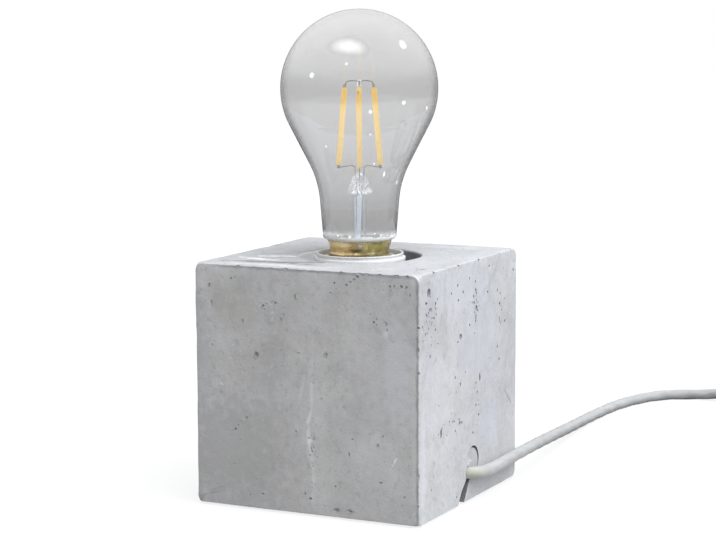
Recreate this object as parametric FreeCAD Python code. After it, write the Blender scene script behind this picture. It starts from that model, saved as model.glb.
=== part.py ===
import FreeCAD
import Part
import math
import os
from FreeCAD import Vector

# Table lamp: a cast concrete cube with a lampholder sunk in its top, a filament bulb,
# and a flat cord with an inline switch and a plug. Lengths are millimetres, +Z is up.
# The origin is the middle of the underside, on the table. The front faces -Y and the
# cord leaves the +X face.

# Concrete block and the pad glued under it
BLOCK_SIDE = 100.0
BLOCK_HEIGHT = 99.0
BLOCK_EDGE_RADIUS = 1.5
PAD_THICKNESS = 1.0
PAD_INSET = 4.0
PAD_CORNER_RADIUS = 5.0
RECESS_RADIUS = 25.5
RECESS_LIP_RADIUS = 0.8
CHAMBER_RADIUS = 28.0
CHAMBER_HEIGHT = 38.0
SHELF_THICKNESS = 10.0

# Cord and the place where it leaves the block
CORD_DIAMETER = 5.0
CORD_CLEARANCE = 0.15
OUTLET_Y = -1.0
OUTLET_DROP = 26.5
PATCH_RADIUS = 6.3
PATCH_ASIDE = 3.5
PATCH_ABOVE = 3.5
SLOT_WIDTH = 3.8
SLOT_FOOT_WIDTH = 6.0
SLOT_KNEE_DROP = 2.7
SLOT_KNEE_LEAN = 0.8
SLOT_LEAN = 8.0
TUNNEL_ENTRY_X = 19.5
TUNNEL_ENTRY_Y = -15.5
OUTLET_RUN = 2.6
OUTLET_INSET = 2.0
INNER_BEND_RADIUS = 10.5

# Fittings between the shelf in the block and the lampholder
NIPPLE_RADIUS = 5.0
NIPPLE_BORE_RADIUS = 3.3
SHELF_HOLE_CLEARANCE = 0.4
WASHER_RADIUS = 11.0
WASHER_THICKNESS = 1.5
NUT_SIDES = 6
NUT_ACROSS_FLATS = 14.0
NUT_HEIGHT = 3.5
GRIP_RADIUS = 7.5
GRIP_ON_NIPPLE = 5.0
GRIP_CLAMP_LENGTH = 5.0
GRIP_SCREW_RADIUS = 1.5
GRIP_SCREW_STAND_OUT = 1.2

# Lampholder: cap, skirt, insert and the threaded sleeve
HOLDER_HEIGHT = 52.4
HOLDER_RADIUS = 18.3
HOLDER_FOOT_RADIUS = 11.5
HOLDER_DOME_HEIGHT = 9.0
HOLDER_CAP_HEIGHT = 14.0
HOLDER_CAP_WALL = 1.9
HOLDER_BOSS_RADIUS = 8.0
HOLDER_BOSS_HEIGHT = 7.0
SKIRT_WALL = 1.0
SKIRT_LAP = 4.5
LAP_CLEARANCE = 0.2
SKIRT_RING_STAND_OUT = 0.8
SKIRT_RING_DROP = 1.7
SKIRT_RING_HEIGHT = 2.4
SKIRT_LEDGE_HEIGHT = 1.4
SKIRT_LEDGE_GAP = 0.8
RIM_ROUND = 0.35
INSERT_SEAT_HEIGHT = 15.5
INSERT_SEAT_WIDTH = 2.0
INSERT_HEIGHT = 10.0
INSERT_RADIUS = 15.2
INSERT_CLEARANCE = 0.3
SLEEVE_WALL = 1.1
SLEEVE_FLANGE_HEIGHT = 2.0
SLEEVE_FLANGE_GAP = 0.7
SLEEVE_TOP_DROP = 1.5
SLEEVE_GAP = 0.5
SLEEVE_RIDGE_ROOT_WIDTH = 2.5
SLEEVE_RIDGE_CREST_WIDTH = 1.1
SLEEVE_RIDGE_SINK = 0.4

# Contacts and terminals in the lampholder
TERMINAL_REACH = 9.0
TERMINAL_SIDE = 6.0
TERMINAL_HEIGHT = 7.0
TERMINAL_CLEARANCE = 0.15
TERMINAL_SCREW_RADIUS = 1.25
TERMINAL_SCREW_HEAD_RADIUS = 2.2
TERMINAL_SCREW_HEAD_HEIGHT = 2.0
TERMINAL_SCREW_LENGTH = 6.0
TERMINAL_SCREW_ASIDE = 1.8
CORE_RADIUS = 1.0
CORE_REACH_IN_SHEATH = 1.1
CORE_LENGTH_IN_TERMINAL = 5.0
SHEATH_ABOVE_NIPPLE = 2.0
BLADE_THICKNESS = 0.5
BLADE_WIDTH = 5.0
BLADE_TIP_DROP = 1.5
SIDE_BLADE_WIDTH = 4.0
RIVET_RADIUS = 1.2
RIVET_HEAD_RADIUS = 2.0
RIVET_HEAD_HEIGHT = 0.6

# Screw cap of the bulb and the thread that it shares with the sleeve
TIP_DEPTH = 20.6
THREAD_PITCH = 3.629
THREAD_ROOT_RADIUS = 12.2
THREAD_CREST_RADIUS = 13.1
THREAD_ROOT_WIDTH = 2.6
THREAD_CREST_WIDTH = 1.0
THREAD_SINK = 0.4
THREAD_CLEARANCE = 0.3
THREAD_LENGTH = 15.5
SCREW_CAP_LENGTH = 26.0
SCREW_CAP_WALL = 0.8
FLARE_RADIUS = 13.3
FLARE_HEIGHT = 2.2
FLARE_LIP = 0.8
CAP_FLOOR_RISE = 4.4
CAP_FLOOR_THICKNESS = 0.8
CAP_CHAMFER = 1.8
CAP_MOUTH_RADIUS = 9.8
TIP_RADIUS = 4.4
TIP_THICKNESS = 1.2
TIP_STEM_RADIUS = 1.8
TIP_STEM_CLEARANCE = 0.3
INSULATOR_TOP_RISE = 2.0

# Glass bulb
BULB_LENGTH = 121.2
BULB_RADIUS = 32.6
BULB_WALL = 0.7
CONE_ANGLE = 27.0
NECK_ANGLE = 4.6
NECK_FOOT_RADIUS = 15.3
NECK_FOOT_RISE = 1.8
THROAT_RADIUS = 41.0
SHOULDER_WIDTH = 1.9
SHOULDER_HEIGHT = 1.3
SHOULDER_BEND_SHARES = (0.3, 0.7)
COLLAR_RADIUS = 10.4
COLLAR_DEPTH = 5.8
CEMENT_RADIUS = 12.7

# Inside of the bulb
STEM_TUBE_RADIUS = 3.4
STEM_WALL = 0.6
STEM_FLARE_HEIGHT = 6.0
STEM_FLARE_GAP = 0.2
EXHAUST_RADIUS = 1.15
PINCH_LOW = 18.2
PINCH_HEIGHT = 8.0
PINCH_WIDTH = 10.0
PINCH_THICKNESS = 3.4
PINCH_EDGE_RADIUS = 0.85
ROD_RADIUS = 1.1
ROD_TOP_DROP = 29.0
STICK_COUNT = 4
STICK_RADIUS = 1.15
STICK_TOP_REACH = 6.0
STICK_FOOT_REACH = 8.7
STICK_TOP_DROP = 31.8
STICK_FOOT_DROP = 64.5
STICK_TURN = -63.8
WIRE_RADIUS = 0.35
WIRE_TOP_RISE = 2.2
WIRE_FOOT_DROP = 1.6
WIRE_DIP_AT_ROD = 0.7
WIRE_INSET_ON_PINCH = 0.5
LEAD_REACH = 2.2
LEAD_RADIUS = 0.3
BOARD_RADIUS = 8.5
BOARD_THICKNESS = 1.2
BOARD_DROP = 10.0
CAPACITOR_RADIUS = 2.6
CAPACITOR_LENGTH = 7.0
CAPACITOR_REACH = 4.25
CHIP_SIDE = 4.0
CHIP_HEIGHT = 1.6
CHIP_REACH = 4.25
BOARD_WIRE_RADIUS = 0.3
SHELL_WIRE_REACH = 7.5
SHELL_WIRE_RISE = 1.5

# Inline switch, lengthwise along its own X, with its cord at the parting height
SWITCH_X = 150.0
SWITCH_Y = 236.0
SWITCH_HEADING = -14.0
SWITCH_LENGTH = 58.0
SWITCH_WIDTH = 26.0
SWITCH_HEIGHT = 17.0
SWITCH_CORNER_RADIUS = 9.0
SWITCH_EDGE_RADIUS = 1.4
SWITCH_WALL = 1.8
SWITCH_PARTING = 7.5
SWITCH_COLLAR_RADIUS = 4.6
SWITCH_COLLAR_LENGTH = 6.0
SWITCH_CORD_DEPTH = 2.75
ROCKER_LENGTH = 20.0
ROCKER_WIDTH = 10.0
ROCKER_END_RISE = 3.4
ROCKER_DIP = 1.3
ROCKER_DEPTH = 3.0
ROCKER_FOOT_SHARE = 0.8
ROCKER_GAP = 0.9
ROCKER_SIDE_GAP = 0.4
ROCKER_TILT = 8.0
ROCKER_PIVOT_DROP = 2.6
AXLE_RADIUS = 1.0
AXLE_CLEARANCE = 0.3
AXLE_LENGTH = 1.4
BEARER_LENGTH = 6.0
BEARER_THICKNESS = 2.0
BEARER_DEPTH = 4.6
BRIDGE_LENGTH = 13.0
BRIDGE_WIDTH = 4.0
BRIDGE_THICKNESS = 0.6
CONTACT_REACH = 16.0
CONTACT_LENGTH = 7.0
CONTACT_WIDTH = 5.0
CONTACT_THICKNESS = 1.2
SADDLE_TONGUE_LENGTH = 14.0
SADDLE_RADIUS = 0.8
TOUCH_TONGUE_LENGTH = 8.0
TOUCH_DROP = 4.55
SWITCH_CORE_LANE = 3.85
SWITCH_CORE_RUN = 1.95
SWITCH_CORE_BEND = 1.7
PILLAR_REACH = 19.0
PILLAR_ASIDE = 8.0
PILLAR_RADIUS = 2.8
CASE_SCREW_RADIUS = 1.2
CASE_SCREW_CLEARANCE = 0.2
CASE_SCREW_HEAD_RADIUS = 2.2
CASE_SCREW_HEAD_HEIGHT = 1.4
CASE_SCREW_SINK = 0.4
CASE_SCREW_LENGTH = 11.0

# Plug, lengthwise along its own X from the cord to the pins
PLUG_X = 149.0
PLUG_Y = 120.0
PLUG_HEADING = 90.0
PLUG_LENGTH = 36.0
PLUG_WIDTH = 25.0
PLUG_BACK_WIDTH = 14.0
PLUG_THICKNESS = 13.8
PLUG_TAPER_SHARE = 0.5
PLUG_EDGE_RADIUS = 2.0
RELIEF_LENGTH = 26.0
RELIEF_TIP_RADIUS = 3.3
RELIEF_ROOT_RADIUS = 5.6
RELIEF_GROOVES = 4
RELIEF_GROOVE_WIDTH = 2.0
RELIEF_GROOVE_DEPTH = 0.9
PIN_RADIUS = 2.0
PIN_CORE_RADIUS = 1.4
PIN_LENGTH = 19.0
PIN_SPACING = 18.6
PIN_ROOT = 6.0
PIN_SLEEVE_LENGTH = 10.0

# Coil of the cord that is put away, wound clockwise seen from above
COIL_X = 186.0
COIL_Y = 60.0
COIL_OUTER_RADIUS = 38.1
COIL_STEP = 5.6
COIL_LAYER_RISE = 5.5
COIL_TURNS_PER_LAYER = 3.25
COIL_CLIMB_TURNS = 0.5
COIL_PARTS_PER_TURN = 4
COIL_LIFT = 1.0
TIE_ANGLE = 90.0
TIE_WIDTH = 8.0
TIE_THICKNESS = 0.8
TIE_GAP = 0.2
TIE_SIDE_GAP = 0.6

COIL_RUN_IN = 24.0
PLUG_ROUTE = [
    (148.5, 86.0, 5.2),
    (149.2, 97.0, 4.4),
]
PLUG_RUN_OUT = 12.0
SWITCH_RUN = 4.0
ARC_SHARE = 0.45

# Play in a plain round fit, and how far a cutting shape runs past what it cuts
FIT_CLEARANCE = 0.1
OVERRUN = 2.0
FULL_TURN = 360.0

# Sine and cosine of 45 degrees, for the middle of a quarter arc
ARC_MIDDLE = math.sqrt(1 / 2)

# Heights that follow from the sizes above
BLOCK_TOP = PAD_THICKNESS + BLOCK_HEIGHT
SHELF_UNDER = PAD_THICKNESS + CHAMBER_HEIGHT
SHELF_TOP = SHELF_UNDER + SHELF_THICKNESS
OUTLET_RISE = SHELF_UNDER - OUTLET_DROP
NUT_UNDER = SHELF_UNDER - WASHER_THICKNESS - NUT_HEIGHT
NIPPLE_LOW = NUT_UNDER - GRIP_ON_NIPPLE
NIPPLE_HIGH = SHELF_TOP + HOLDER_BOSS_HEIGHT
SHEATH_TOP = NIPPLE_HIGH + SHEATH_ABOVE_NIPPLE
RIM_TOP = SHELF_TOP + HOLDER_HEIGHT
CAP_TOP = SHELF_TOP + HOLDER_CAP_HEIGHT
SEAT_TOP = SHELF_TOP + INSERT_SEAT_HEIGHT
INSERT_TOP = SEAT_TOP + INSERT_HEIGHT
SKIRT_BORE = HOLDER_RADIUS - SKIRT_WALL
SLEEVE_BORE = THREAD_CREST_RADIUS + SLEEVE_GAP
SLEEVE_RADIUS = SLEEVE_BORE + SLEEVE_WALL
SLEEVE_TOP = RIM_TOP - SLEEVE_TOP_DROP
TIP_LOW = RIM_TOP - TIP_DEPTH
SCREW_CAP_TOP = TIP_LOW + SCREW_CAP_LENGTH
SCREW_CAP_BORE = THREAD_ROOT_RADIUS - SCREW_CAP_WALL
CAP_FLOOR = TIP_LOW + CAP_FLOOR_RISE
THREAD_HIGH = SCREW_CAP_TOP - FLARE_LIP - FLARE_HEIGHT
THREAD_LOW = THREAD_HIGH - THREAD_LENGTH
BULB_TOP = TIP_LOW + BULB_LENGTH
BULB_CENTRE = BULB_TOP - BULB_RADIUS
NECK_FOOT = SCREW_CAP_TOP + NECK_FOOT_RISE
PLUG_AXIS = PLUG_THICKNESS / 2
CORD_REST = CORD_DIAMETER / 2
COIL_REST = CORD_REST + COIL_LIFT
ROCKER_PIVOT = SWITCH_HEIGHT - ROCKER_PIVOT_DROP
UP = Vector(0, 0, 1)
ORIGIN = Vector(0, 0, 0)

# Route of the cord's middle line, as points laid by hand, each an X, Y and Z
LAMP_ROUTE = [
    (54.9, 4.1, OUTLET_RISE),
    (55.6, 9.6, OUTLET_RISE),
    (55.4, 18.0, OUTLET_RISE),
    (54.8, 33.0, 12.4),
    (52.4, 60.0, 11.2),
    (47.6, 100.0, 8.2),
    (41.6, 140.0, 4.2),
    (38.8, 180.0, CORD_REST),
    (41.0, 216.0, CORD_REST),
    (52.0, 245.0, CORD_REST),
    (72.0, 254.0, CORD_REST),
    (92.0, 251.5, 5.6),
]
SWITCH_ROUTE = [
    (206.0, 217.0, 4.4),
    (217.5, 200.0, CORD_REST),
    (223.0, 174.0, CORD_REST),
    (225.8, 142.0, CORD_REST),
    (225.2, 111.0, 2.7),
]


def box(x_low, x_high, y_low, y_high, z_low, z_high):
    corner = Vector(x_low, y_low, z_low)
    return Part.makeBox(x_high - x_low, y_high - y_low, z_high - z_low, corner)


def post(radius, low, high, x=0.0, y=0.0):
    return Part.makeCylinder(radius, high - low, Vector(x, y, low))


def ring(radius, bore, low, high, x=0.0, y=0.0):
    hole = post(bore, low - OVERRUN, high + OVERRUN, x, y)
    return post(radius, low, high, x, y).cut(hole)


def outline(start, steps):
    """A closed line in the XZ plane; a step is a corner, or the two points an arc passes and ends at."""
    edges = []
    first = Vector(start[0], 0, start[1])
    here = first
    for step in steps:
        if isinstance(step[0], tuple):
            (pass_x, pass_z), (end_x, end_z) = step
            there = Vector(end_x, 0, end_z)
            edges.append(Part.Arc(here, Vector(pass_x, 0, pass_z), there).toShape())
        else:
            there = Vector(step[0], 0, step[1])
            edges.append(Part.LineSegment(here, there).toShape())
        here = there
    edges.append(Part.LineSegment(here, first).toShape())
    return Part.Wire(edges)


def turned(start, steps):
    return Part.Face(outline(start, steps)).revolve(ORIGIN, UP, FULL_TURN)


def rod(start, end, radius):
    along = end - start
    return Part.makeCylinder(radius, along.Length, start, along)


def bent_wire(points, radius):
    """Round wire through the points, with a ball at each bend."""
    pieces = [rod(a, b, radius) for a, b in zip(points, points[1:])]
    pieces += [Part.makeSphere(radius, point) for point in points[1:-1]]
    return pieces[0].multiFuse(pieces[1:]).removeSplitter()


def bent_strip(points, thickness, width):
    """Sheet strip whose middle line runs through points in the XZ plane, as wide as asked along Y."""
    normals = []
    for (x_from, z_from), (x_to, z_to) in zip(points, points[1:]):
        length = math.hypot(x_to - x_from, z_to - z_from)
        normals.append(((z_from - z_to) / length, (x_to - x_from) / length))
    left = []
    right = []
    for i, (x, z) in enumerate(points):
        before = normals[max(i - 1, 0)]
        after = normals[min(i, len(normals) - 1)]
        across_x = before[0] + after[0]
        across_z = before[1] + after[1]
        dot = before[0] * after[0] + before[1] * after[1]
        reach = thickness / 2 / (1 + dot)
        left.append((x + across_x * reach, z + across_z * reach))
        right.append((x - across_x * reach, z - across_z * reach))
    corners = left + right[::-1]
    face = Part.Face(outline(corners[0], corners[1:]))
    strip = face.extrude(Vector(0, width, 0))
    strip.translate(Vector(0, -width / 2, 0))
    return strip


def rounded_slab(length, width, corner, low, high):
    slab = box(-length / 2, length / 2, -width / 2, width / 2, low, high)
    upright = [edge for edge in slab.Edges if edge.BoundBox.ZLength > (high - low) / 2]
    return slab.makeFillet(corner, upright)


def free_radii(points):
    """The largest arc that each inner point of a free cord leaves room for."""
    radii = []
    for a, b, c in zip(points, points[1:], points[2:]):
        turn = (b - a).getAngle(c - b)
        shorter = min((b - a).Length, (c - b).Length)
        radii.append(ARC_SHARE * shorter / math.tan(turn / 2))
    return radii


def cord_wire(points, radii):
    """Straight runs joined by tangent arcs of the given radii at the inner points."""
    edges = []
    here = points[0]
    for a, b, c, radius in zip(points, points[1:], points[2:], radii):
        back = (a - b).normalize()
        ahead = (c - b).normalize()
        half = (b - a).getAngle(c - b) / 2
        reach = radius * math.tan(half)
        start = b + back * reach
        end = b + ahead * reach
        inward = (back + ahead).normalize()
        middle = b + inward * (radius / math.cos(half) - radius)
        edges.append(Part.LineSegment(here, start).toShape())
        edges.append(Part.Arc(start, middle, end).toShape())
        here = end
    edges.append(Part.LineSegment(here, points[-1]).toShape())
    return Part.Wire(edges)


def swept(wire, start, heading, radius):
    section = Part.Wire([Part.makeCircle(radius, start, heading)])
    return wire.makePipeShell([section], True, False)


def cord(name, points, radii, radius):
    """A tube along the points; prints its radii and how its volume compares with section times length."""
    wire = cord_wire(points, radii)
    solid = swept(wire, points[0], points[1] - points[0], radius)
    share = solid.Volume / (math.pi * radius**2 * wire.Length)
    shown = ", ".join("%.0f" % r for r in radii)
    print("%s: length %.1f, volume share %.4f, radii %s" % (name, wire.Length, share, shown))
    return solid


def placed(shape, x, y, heading):
    copy = shape.copy()
    copy.rotate(ORIGIN, UP, heading)
    copy.translate(Vector(x, y, 0))
    return copy


def save(name, shape):
    if not shape.isValid():
        raise ValueError(name + " is not a valid shape")
    if shape.Volume <= 0:
        raise ValueError(name + " has no volume")
    shape.exportStep(os.path.join("parts", name + ".step"))


def tunnel_line():
    """Where the cord's middle line passes the side of the block, and its direction outward there."""
    outlet = Vector(BLOCK_SIDE / 2, OUTLET_Y, OUTLET_RISE)
    entry = Vector(TUNNEL_ENTRY_X, TUNNEL_ENTRY_Y, OUTLET_RISE)
    return outlet, (outlet - entry).normalize()


def inside_route():
    """The cord inside the block, from just inside the outlet to the top of the nipple."""
    outlet, outward = tunnel_line()
    return [
        outlet - outward * OUTLET_INSET,
        Vector(TUNNEL_ENTRY_X, TUNNEL_ENTRY_Y, OUTLET_RISE),
        Vector(0, 0, OUTLET_RISE),
        Vector(0, 0, SHEATH_TOP),
    ]


def inside_cord(radius):
    points = inside_route()
    wire = cord_wire(points, [INNER_BEND_RADIUS, INNER_BEND_RADIUS])
    return swept(wire, points[0], points[1] - points[0], radius)


def cord_tunnel():
    """The passage that the cord fills through the wall of the block, run on past the outlet."""
    outlet, outward = tunnel_line()
    entry = Vector(TUNNEL_ENTRY_X, TUNNEL_ENTRY_Y, OUTLET_RISE)
    return rod(entry, outlet + outward * CORD_DIAMETER, CORD_DIAMETER / 2 + CORD_CLEARANCE)


def patch_post(radius):
    y = OUTLET_Y + PATCH_ASIDE
    z = OUTLET_RISE + PATCH_ABOVE
    inner = math.sqrt(CHAMBER_RADIUS**2 - (abs(y) + radius) ** 2)
    return Part.makeCylinder(radius, BLOCK_SIDE / 2 - inner, Vector(inner, y, z), Vector(1, 0, 0))


def cord_slot():
    """The leaning slot under the cord, open to the side and to the underside."""
    knee = OUTLET_RISE - SLOT_KNEE_DROP
    knee_y = OUTLET_Y - SLOT_KNEE_LEAN
    foot_y = OUTLET_Y - SLOT_LEAN
    corners = [
        (OUTLET_Y - SLOT_WIDTH / 2, OUTLET_RISE),
        (OUTLET_Y + SLOT_WIDTH / 2, OUTLET_RISE),
        (knee_y + SLOT_WIDTH / 2, knee),
        (foot_y + SLOT_FOOT_WIDTH / 2, PAD_THICKNESS),
        (foot_y + SLOT_FOOT_WIDTH / 2, PAD_THICKNESS - OVERRUN),
        (foot_y - SLOT_FOOT_WIDTH / 2, PAD_THICKNESS - OVERRUN),
        (foot_y - SLOT_FOOT_WIDTH / 2, PAD_THICKNESS),
        (knee_y - SLOT_WIDTH / 2, knee),
    ]
    start = CHAMBER_RADIUS - SLOT_FOOT_WIDTH
    line = Part.makePolygon([Vector(start, y, z) for y, z in corners + corners[:1]])
    return Part.Face(line).extrude(Vector(BLOCK_SIDE / 2 + OVERRUN - start, 0, 0))


def concrete_block():
    half = BLOCK_SIDE / 2
    block = box(-half, half, -half, half, PAD_THICKNESS, BLOCK_TOP)
    block = block.makeFillet(BLOCK_EDGE_RADIUS, block.Edges)
    lip = RECESS_RADIUS + RECESS_LIP_RADIUS
    lip_bend = RECESS_LIP_RADIUS * ARC_MIDDLE
    recess = turned(
        (0, SHELF_TOP),
        [
            (RECESS_RADIUS, SHELF_TOP),
            (RECESS_RADIUS, BLOCK_TOP - RECESS_LIP_RADIUS),
            ((lip - lip_bend, BLOCK_TOP - RECESS_LIP_RADIUS + lip_bend), (lip, BLOCK_TOP)),
            (lip, BLOCK_TOP + OVERRUN),
            (0, BLOCK_TOP + OVERRUN),
        ],
    )
    chamber = post(CHAMBER_RADIUS, PAD_THICKNESS - OVERRUN, SHELF_UNDER)
    hole = post(NIPPLE_RADIUS + SHELF_HOLE_CLEARANCE, SHELF_UNDER - OVERRUN, SHELF_TOP + OVERRUN)
    cuts = [chamber, hole, patch_post(PATCH_RADIUS), cord_tunnel(), cord_slot()]
    block = block.cut(recess)
    for cut in cuts:
        block = block.cut(cut)
    return block


def exit_mortar():
    return patch_post(PATCH_RADIUS).cut(cord_tunnel()).cut(cord_slot()).Solids[0]


def base_pad():
    side = BLOCK_SIDE - 2 * PAD_INSET
    return rounded_slab(side, side, PAD_CORNER_RADIUS, 0, PAD_THICKNESS)


def threaded_nipple():
    return ring(NIPPLE_RADIUS, NIPPLE_BORE_RADIUS, NIPPLE_LOW, NIPPLE_HIGH)


def shelf_washer():
    return ring(WASHER_RADIUS, NIPPLE_RADIUS + FIT_CLEARANCE, SHELF_UNDER - WASHER_THICKNESS, SHELF_UNDER)


def lock_nut():
    step = 2 * math.pi / NUT_SIDES
    corner = NUT_ACROSS_FLATS / 2 / math.cos(step / 2)
    turns = [i * step for i in range(NUT_SIDES)]
    corners = [Vector(corner * math.cos(turn), corner * math.sin(turn), NUT_UNDER) for turn in turns]
    blank = Part.Face(Part.makePolygon(corners + corners[:1])).extrude(UP * NUT_HEIGHT)
    low = NUT_UNDER - OVERRUN
    high = NUT_UNDER + NUT_HEIGHT + OVERRUN
    return blank.cut(post(NIPPLE_RADIUS + FIT_CLEARANCE, low, high))


def grip_screw_height():
    return NIPPLE_LOW - GRIP_CLAMP_LENGTH / 2


def cord_grip():
    low = NIPPLE_LOW - GRIP_CLAMP_LENGTH
    grip = post(GRIP_RADIUS, low, NUT_UNDER)
    grip = grip.cut(post(NIPPLE_RADIUS + FIT_CLEARANCE, NIPPLE_LOW, NUT_UNDER + OVERRUN))
    grip = grip.cut(post(CORD_DIAMETER / 2 + CORD_CLEARANCE, low - OVERRUN, NIPPLE_LOW + OVERRUN))
    start = Vector(0, 0, grip_screw_height())
    end = Vector(0, GRIP_RADIUS + OVERRUN, grip_screw_height())
    return grip.cut(rod(start, end, GRIP_SCREW_RADIUS + FIT_CLEARANCE))


def grip_screw():
    start = Vector(0, CORD_DIAMETER / 2 + CORD_CLEARANCE, grip_screw_height())
    end = Vector(0, GRIP_RADIUS + GRIP_SCREW_STAND_OUT, grip_screw_height())
    return rod(start, end, GRIP_SCREW_RADIUS)


def holder_cap():
    """Lower half of the lampholder: a dome with a threaded boss, a seat for the insert and a spigot."""
    dome_top = SHELF_TOP + HOLDER_DOME_HEIGHT
    spigot = SKIRT_BORE - LAP_CLEARANCE
    bore = INSERT_RADIUS + INSERT_CLEARANCE
    seat = bore - INSERT_SEAT_WIDTH
    floor = SHELF_TOP + HOLDER_CAP_WALL
    wide = HOLDER_RADIUS - HOLDER_FOOT_RADIUS
    inner_wide = seat - HOLDER_FOOT_RADIUS + HOLDER_CAP_WALL
    inner_foot = HOLDER_FOOT_RADIUS - HOLDER_CAP_WALL
    inner_high = HOLDER_DOME_HEIGHT - HOLDER_CAP_WALL
    return turned(
        (NIPPLE_RADIUS + FIT_CLEARANCE, SHELF_TOP),
        [
            (HOLDER_FOOT_RADIUS, SHELF_TOP),
            (
                (HOLDER_FOOT_RADIUS + wide * ARC_MIDDLE, dome_top - HOLDER_DOME_HEIGHT * ARC_MIDDLE),
                (HOLDER_RADIUS, dome_top),
            ),
            (HOLDER_RADIUS, CAP_TOP),
            (spigot, CAP_TOP),
            (spigot, CAP_TOP + SKIRT_LAP),
            (bore, CAP_TOP + SKIRT_LAP),
            (bore, SEAT_TOP),
            (seat, SEAT_TOP),
            (seat, dome_top),
            (
                (inner_foot + inner_wide * ARC_MIDDLE, dome_top - inner_high * ARC_MIDDLE),
                (inner_foot, floor),
            ),
            (HOLDER_BOSS_RADIUS, floor),
            (HOLDER_BOSS_RADIUS, SHELF_TOP + HOLDER_BOSS_HEIGHT),
            (NIPPLE_RADIUS + FIT_CLEARANCE, SHELF_TOP + HOLDER_BOSS_HEIGHT),
        ],
    )


def holder_skirt():
    """Upper shell of the lampholder: outer ring, rim, and the ledge that holds the sleeve down."""
    ring_top = RIM_TOP - SKIRT_RING_DROP
    ring_radius = HOLDER_RADIUS + SKIRT_RING_STAND_OUT
    ledge_low = INSERT_TOP + SLEEVE_FLANGE_HEIGHT
    ledge_high = ledge_low + SKIRT_LEDGE_HEIGHT
    ledge_radius = SLEEVE_RADIUS + SKIRT_LEDGE_GAP
    return turned(
        (SKIRT_BORE, CAP_TOP),
        [
            (HOLDER_RADIUS, CAP_TOP),
            (HOLDER_RADIUS, ring_top - SKIRT_RING_HEIGHT),
            (ring_radius, ring_top - SKIRT_RING_HEIGHT + SKIRT_RING_STAND_OUT),
            (ring_radius, ring_top - RIM_ROUND),
            (ring_radius - RIM_ROUND, ring_top),
            (HOLDER_RADIUS, ring_top),
            (HOLDER_RADIUS, RIM_TOP - RIM_ROUND),
            (HOLDER_RADIUS - RIM_ROUND, RIM_TOP),
            (SKIRT_BORE, RIM_TOP),
            (SKIRT_BORE, ledge_high),
            (ledge_radius, ledge_high),
            (ledge_radius, ledge_low),
            (SKIRT_BORE, ledge_low),
        ],
    )


def holder_insert():
    insert = post(INSERT_RADIUS, SEAT_TOP, INSERT_TOP)
    half = TERMINAL_SIDE / 2 + TERMINAL_CLEARANCE
    for side in (-1, 1):
        x = side * TERMINAL_REACH
        pocket = box(x - half, x + half, -half, half, SEAT_TOP - OVERRUN, SEAT_TOP + TERMINAL_HEIGHT)
        rivet_hole = post(RIVET_RADIUS + FIT_CLEARANCE, SEAT_TOP, INSERT_TOP + OVERRUN, x)
        insert = insert.cut(pocket).cut(rivet_hole)
    return insert


def thread_ridge(root_width, crest_width, root, crest, low, high):
    """One helical ridge: a flat-topped profile carried round the axis at the thread's pitch."""
    helix = Part.makeHelix(THREAD_PITCH, high - low, root)
    helix.translate(Vector(0, 0, low))
    corners = [
        Vector(root, 0, low - root_width / 2),
        Vector(crest, 0, low - crest_width / 2),
        Vector(crest, 0, low + crest_width / 2),
        Vector(root, 0, low + root_width / 2),
    ]
    profile = Part.makePolygon(corners + corners[:1])
    return Part.Wire(helix.Edges).makePipeShell([profile], True, True)


def screw_sleeve():
    """Moulded sleeve inside the skirt, with the inward ridge that the thread of the bulb's cap runs on."""
    flange = SKIRT_BORE - SLEEVE_FLANGE_GAP
    wall = ring(SLEEVE_RADIUS, SLEEVE_BORE, INSERT_TOP, SLEEVE_TOP)
    foot = ring(flange, SLEEVE_BORE, INSERT_TOP, INSERT_TOP + SLEEVE_FLANGE_HEIGHT)
    ridge = thread_ridge(
        SLEEVE_RIDGE_ROOT_WIDTH,
        SLEEVE_RIDGE_CREST_WIDTH,
        SLEEVE_BORE + SLEEVE_RIDGE_SINK,
        THREAD_ROOT_RADIUS + THREAD_CLEARANCE,
        THREAD_LOW - THREAD_PITCH / 2,
        SLEEVE_TOP - SLEEVE_RIDGE_ROOT_WIDTH,
    )
    return wall.fuse(ridge).fuse(foot).removeSplitter()


def contact_hole(x):
    """Hole for the rivet that holds a contact blade down on the insert."""
    return post(RIVET_RADIUS + FIT_CLEARANCE, INSERT_TOP - OVERRUN, INSERT_TOP + OVERRUN, x)


def centre_contact():
    low = INSERT_TOP + BLADE_THICKNESS / 2
    high = TIP_LOW - BLADE_THICKNESS / 2
    points = [
        (-TERMINAL_REACH - RIVET_HEAD_RADIUS, low),
        (-TERMINAL_REACH + RIVET_HEAD_RADIUS, low),
        (-TIP_RADIUS / 2, high),
        (TIP_RADIUS / 2, high),
        (TIP_RADIUS, high - BLADE_TIP_DROP),
    ]
    blade = bent_strip(points, BLADE_THICKNESS, BLADE_WIDTH)
    return blade.cut(contact_hole(-TERMINAL_REACH))


def side_contact():
    """Blade that leans on the lower edge of the screw cap from outside."""
    low = INSERT_TOP + BLADE_THICKNESS / 2
    upright = SLEEVE_BORE - BLADE_THICKNESS
    points = [
        (TERMINAL_REACH - RIVET_HEAD_RADIUS, low),
        (upright, low),
        (upright, CAP_FLOOR - CAP_CHAMFER),
        (THREAD_ROOT_RADIUS - BLADE_THICKNESS, CAP_FLOOR + THREAD_CLEARANCE),
    ]
    blade = bent_strip(points, BLADE_THICKNESS, SIDE_BLADE_WIDTH)
    return blade.cut(contact_hole(TERMINAL_REACH))


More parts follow.
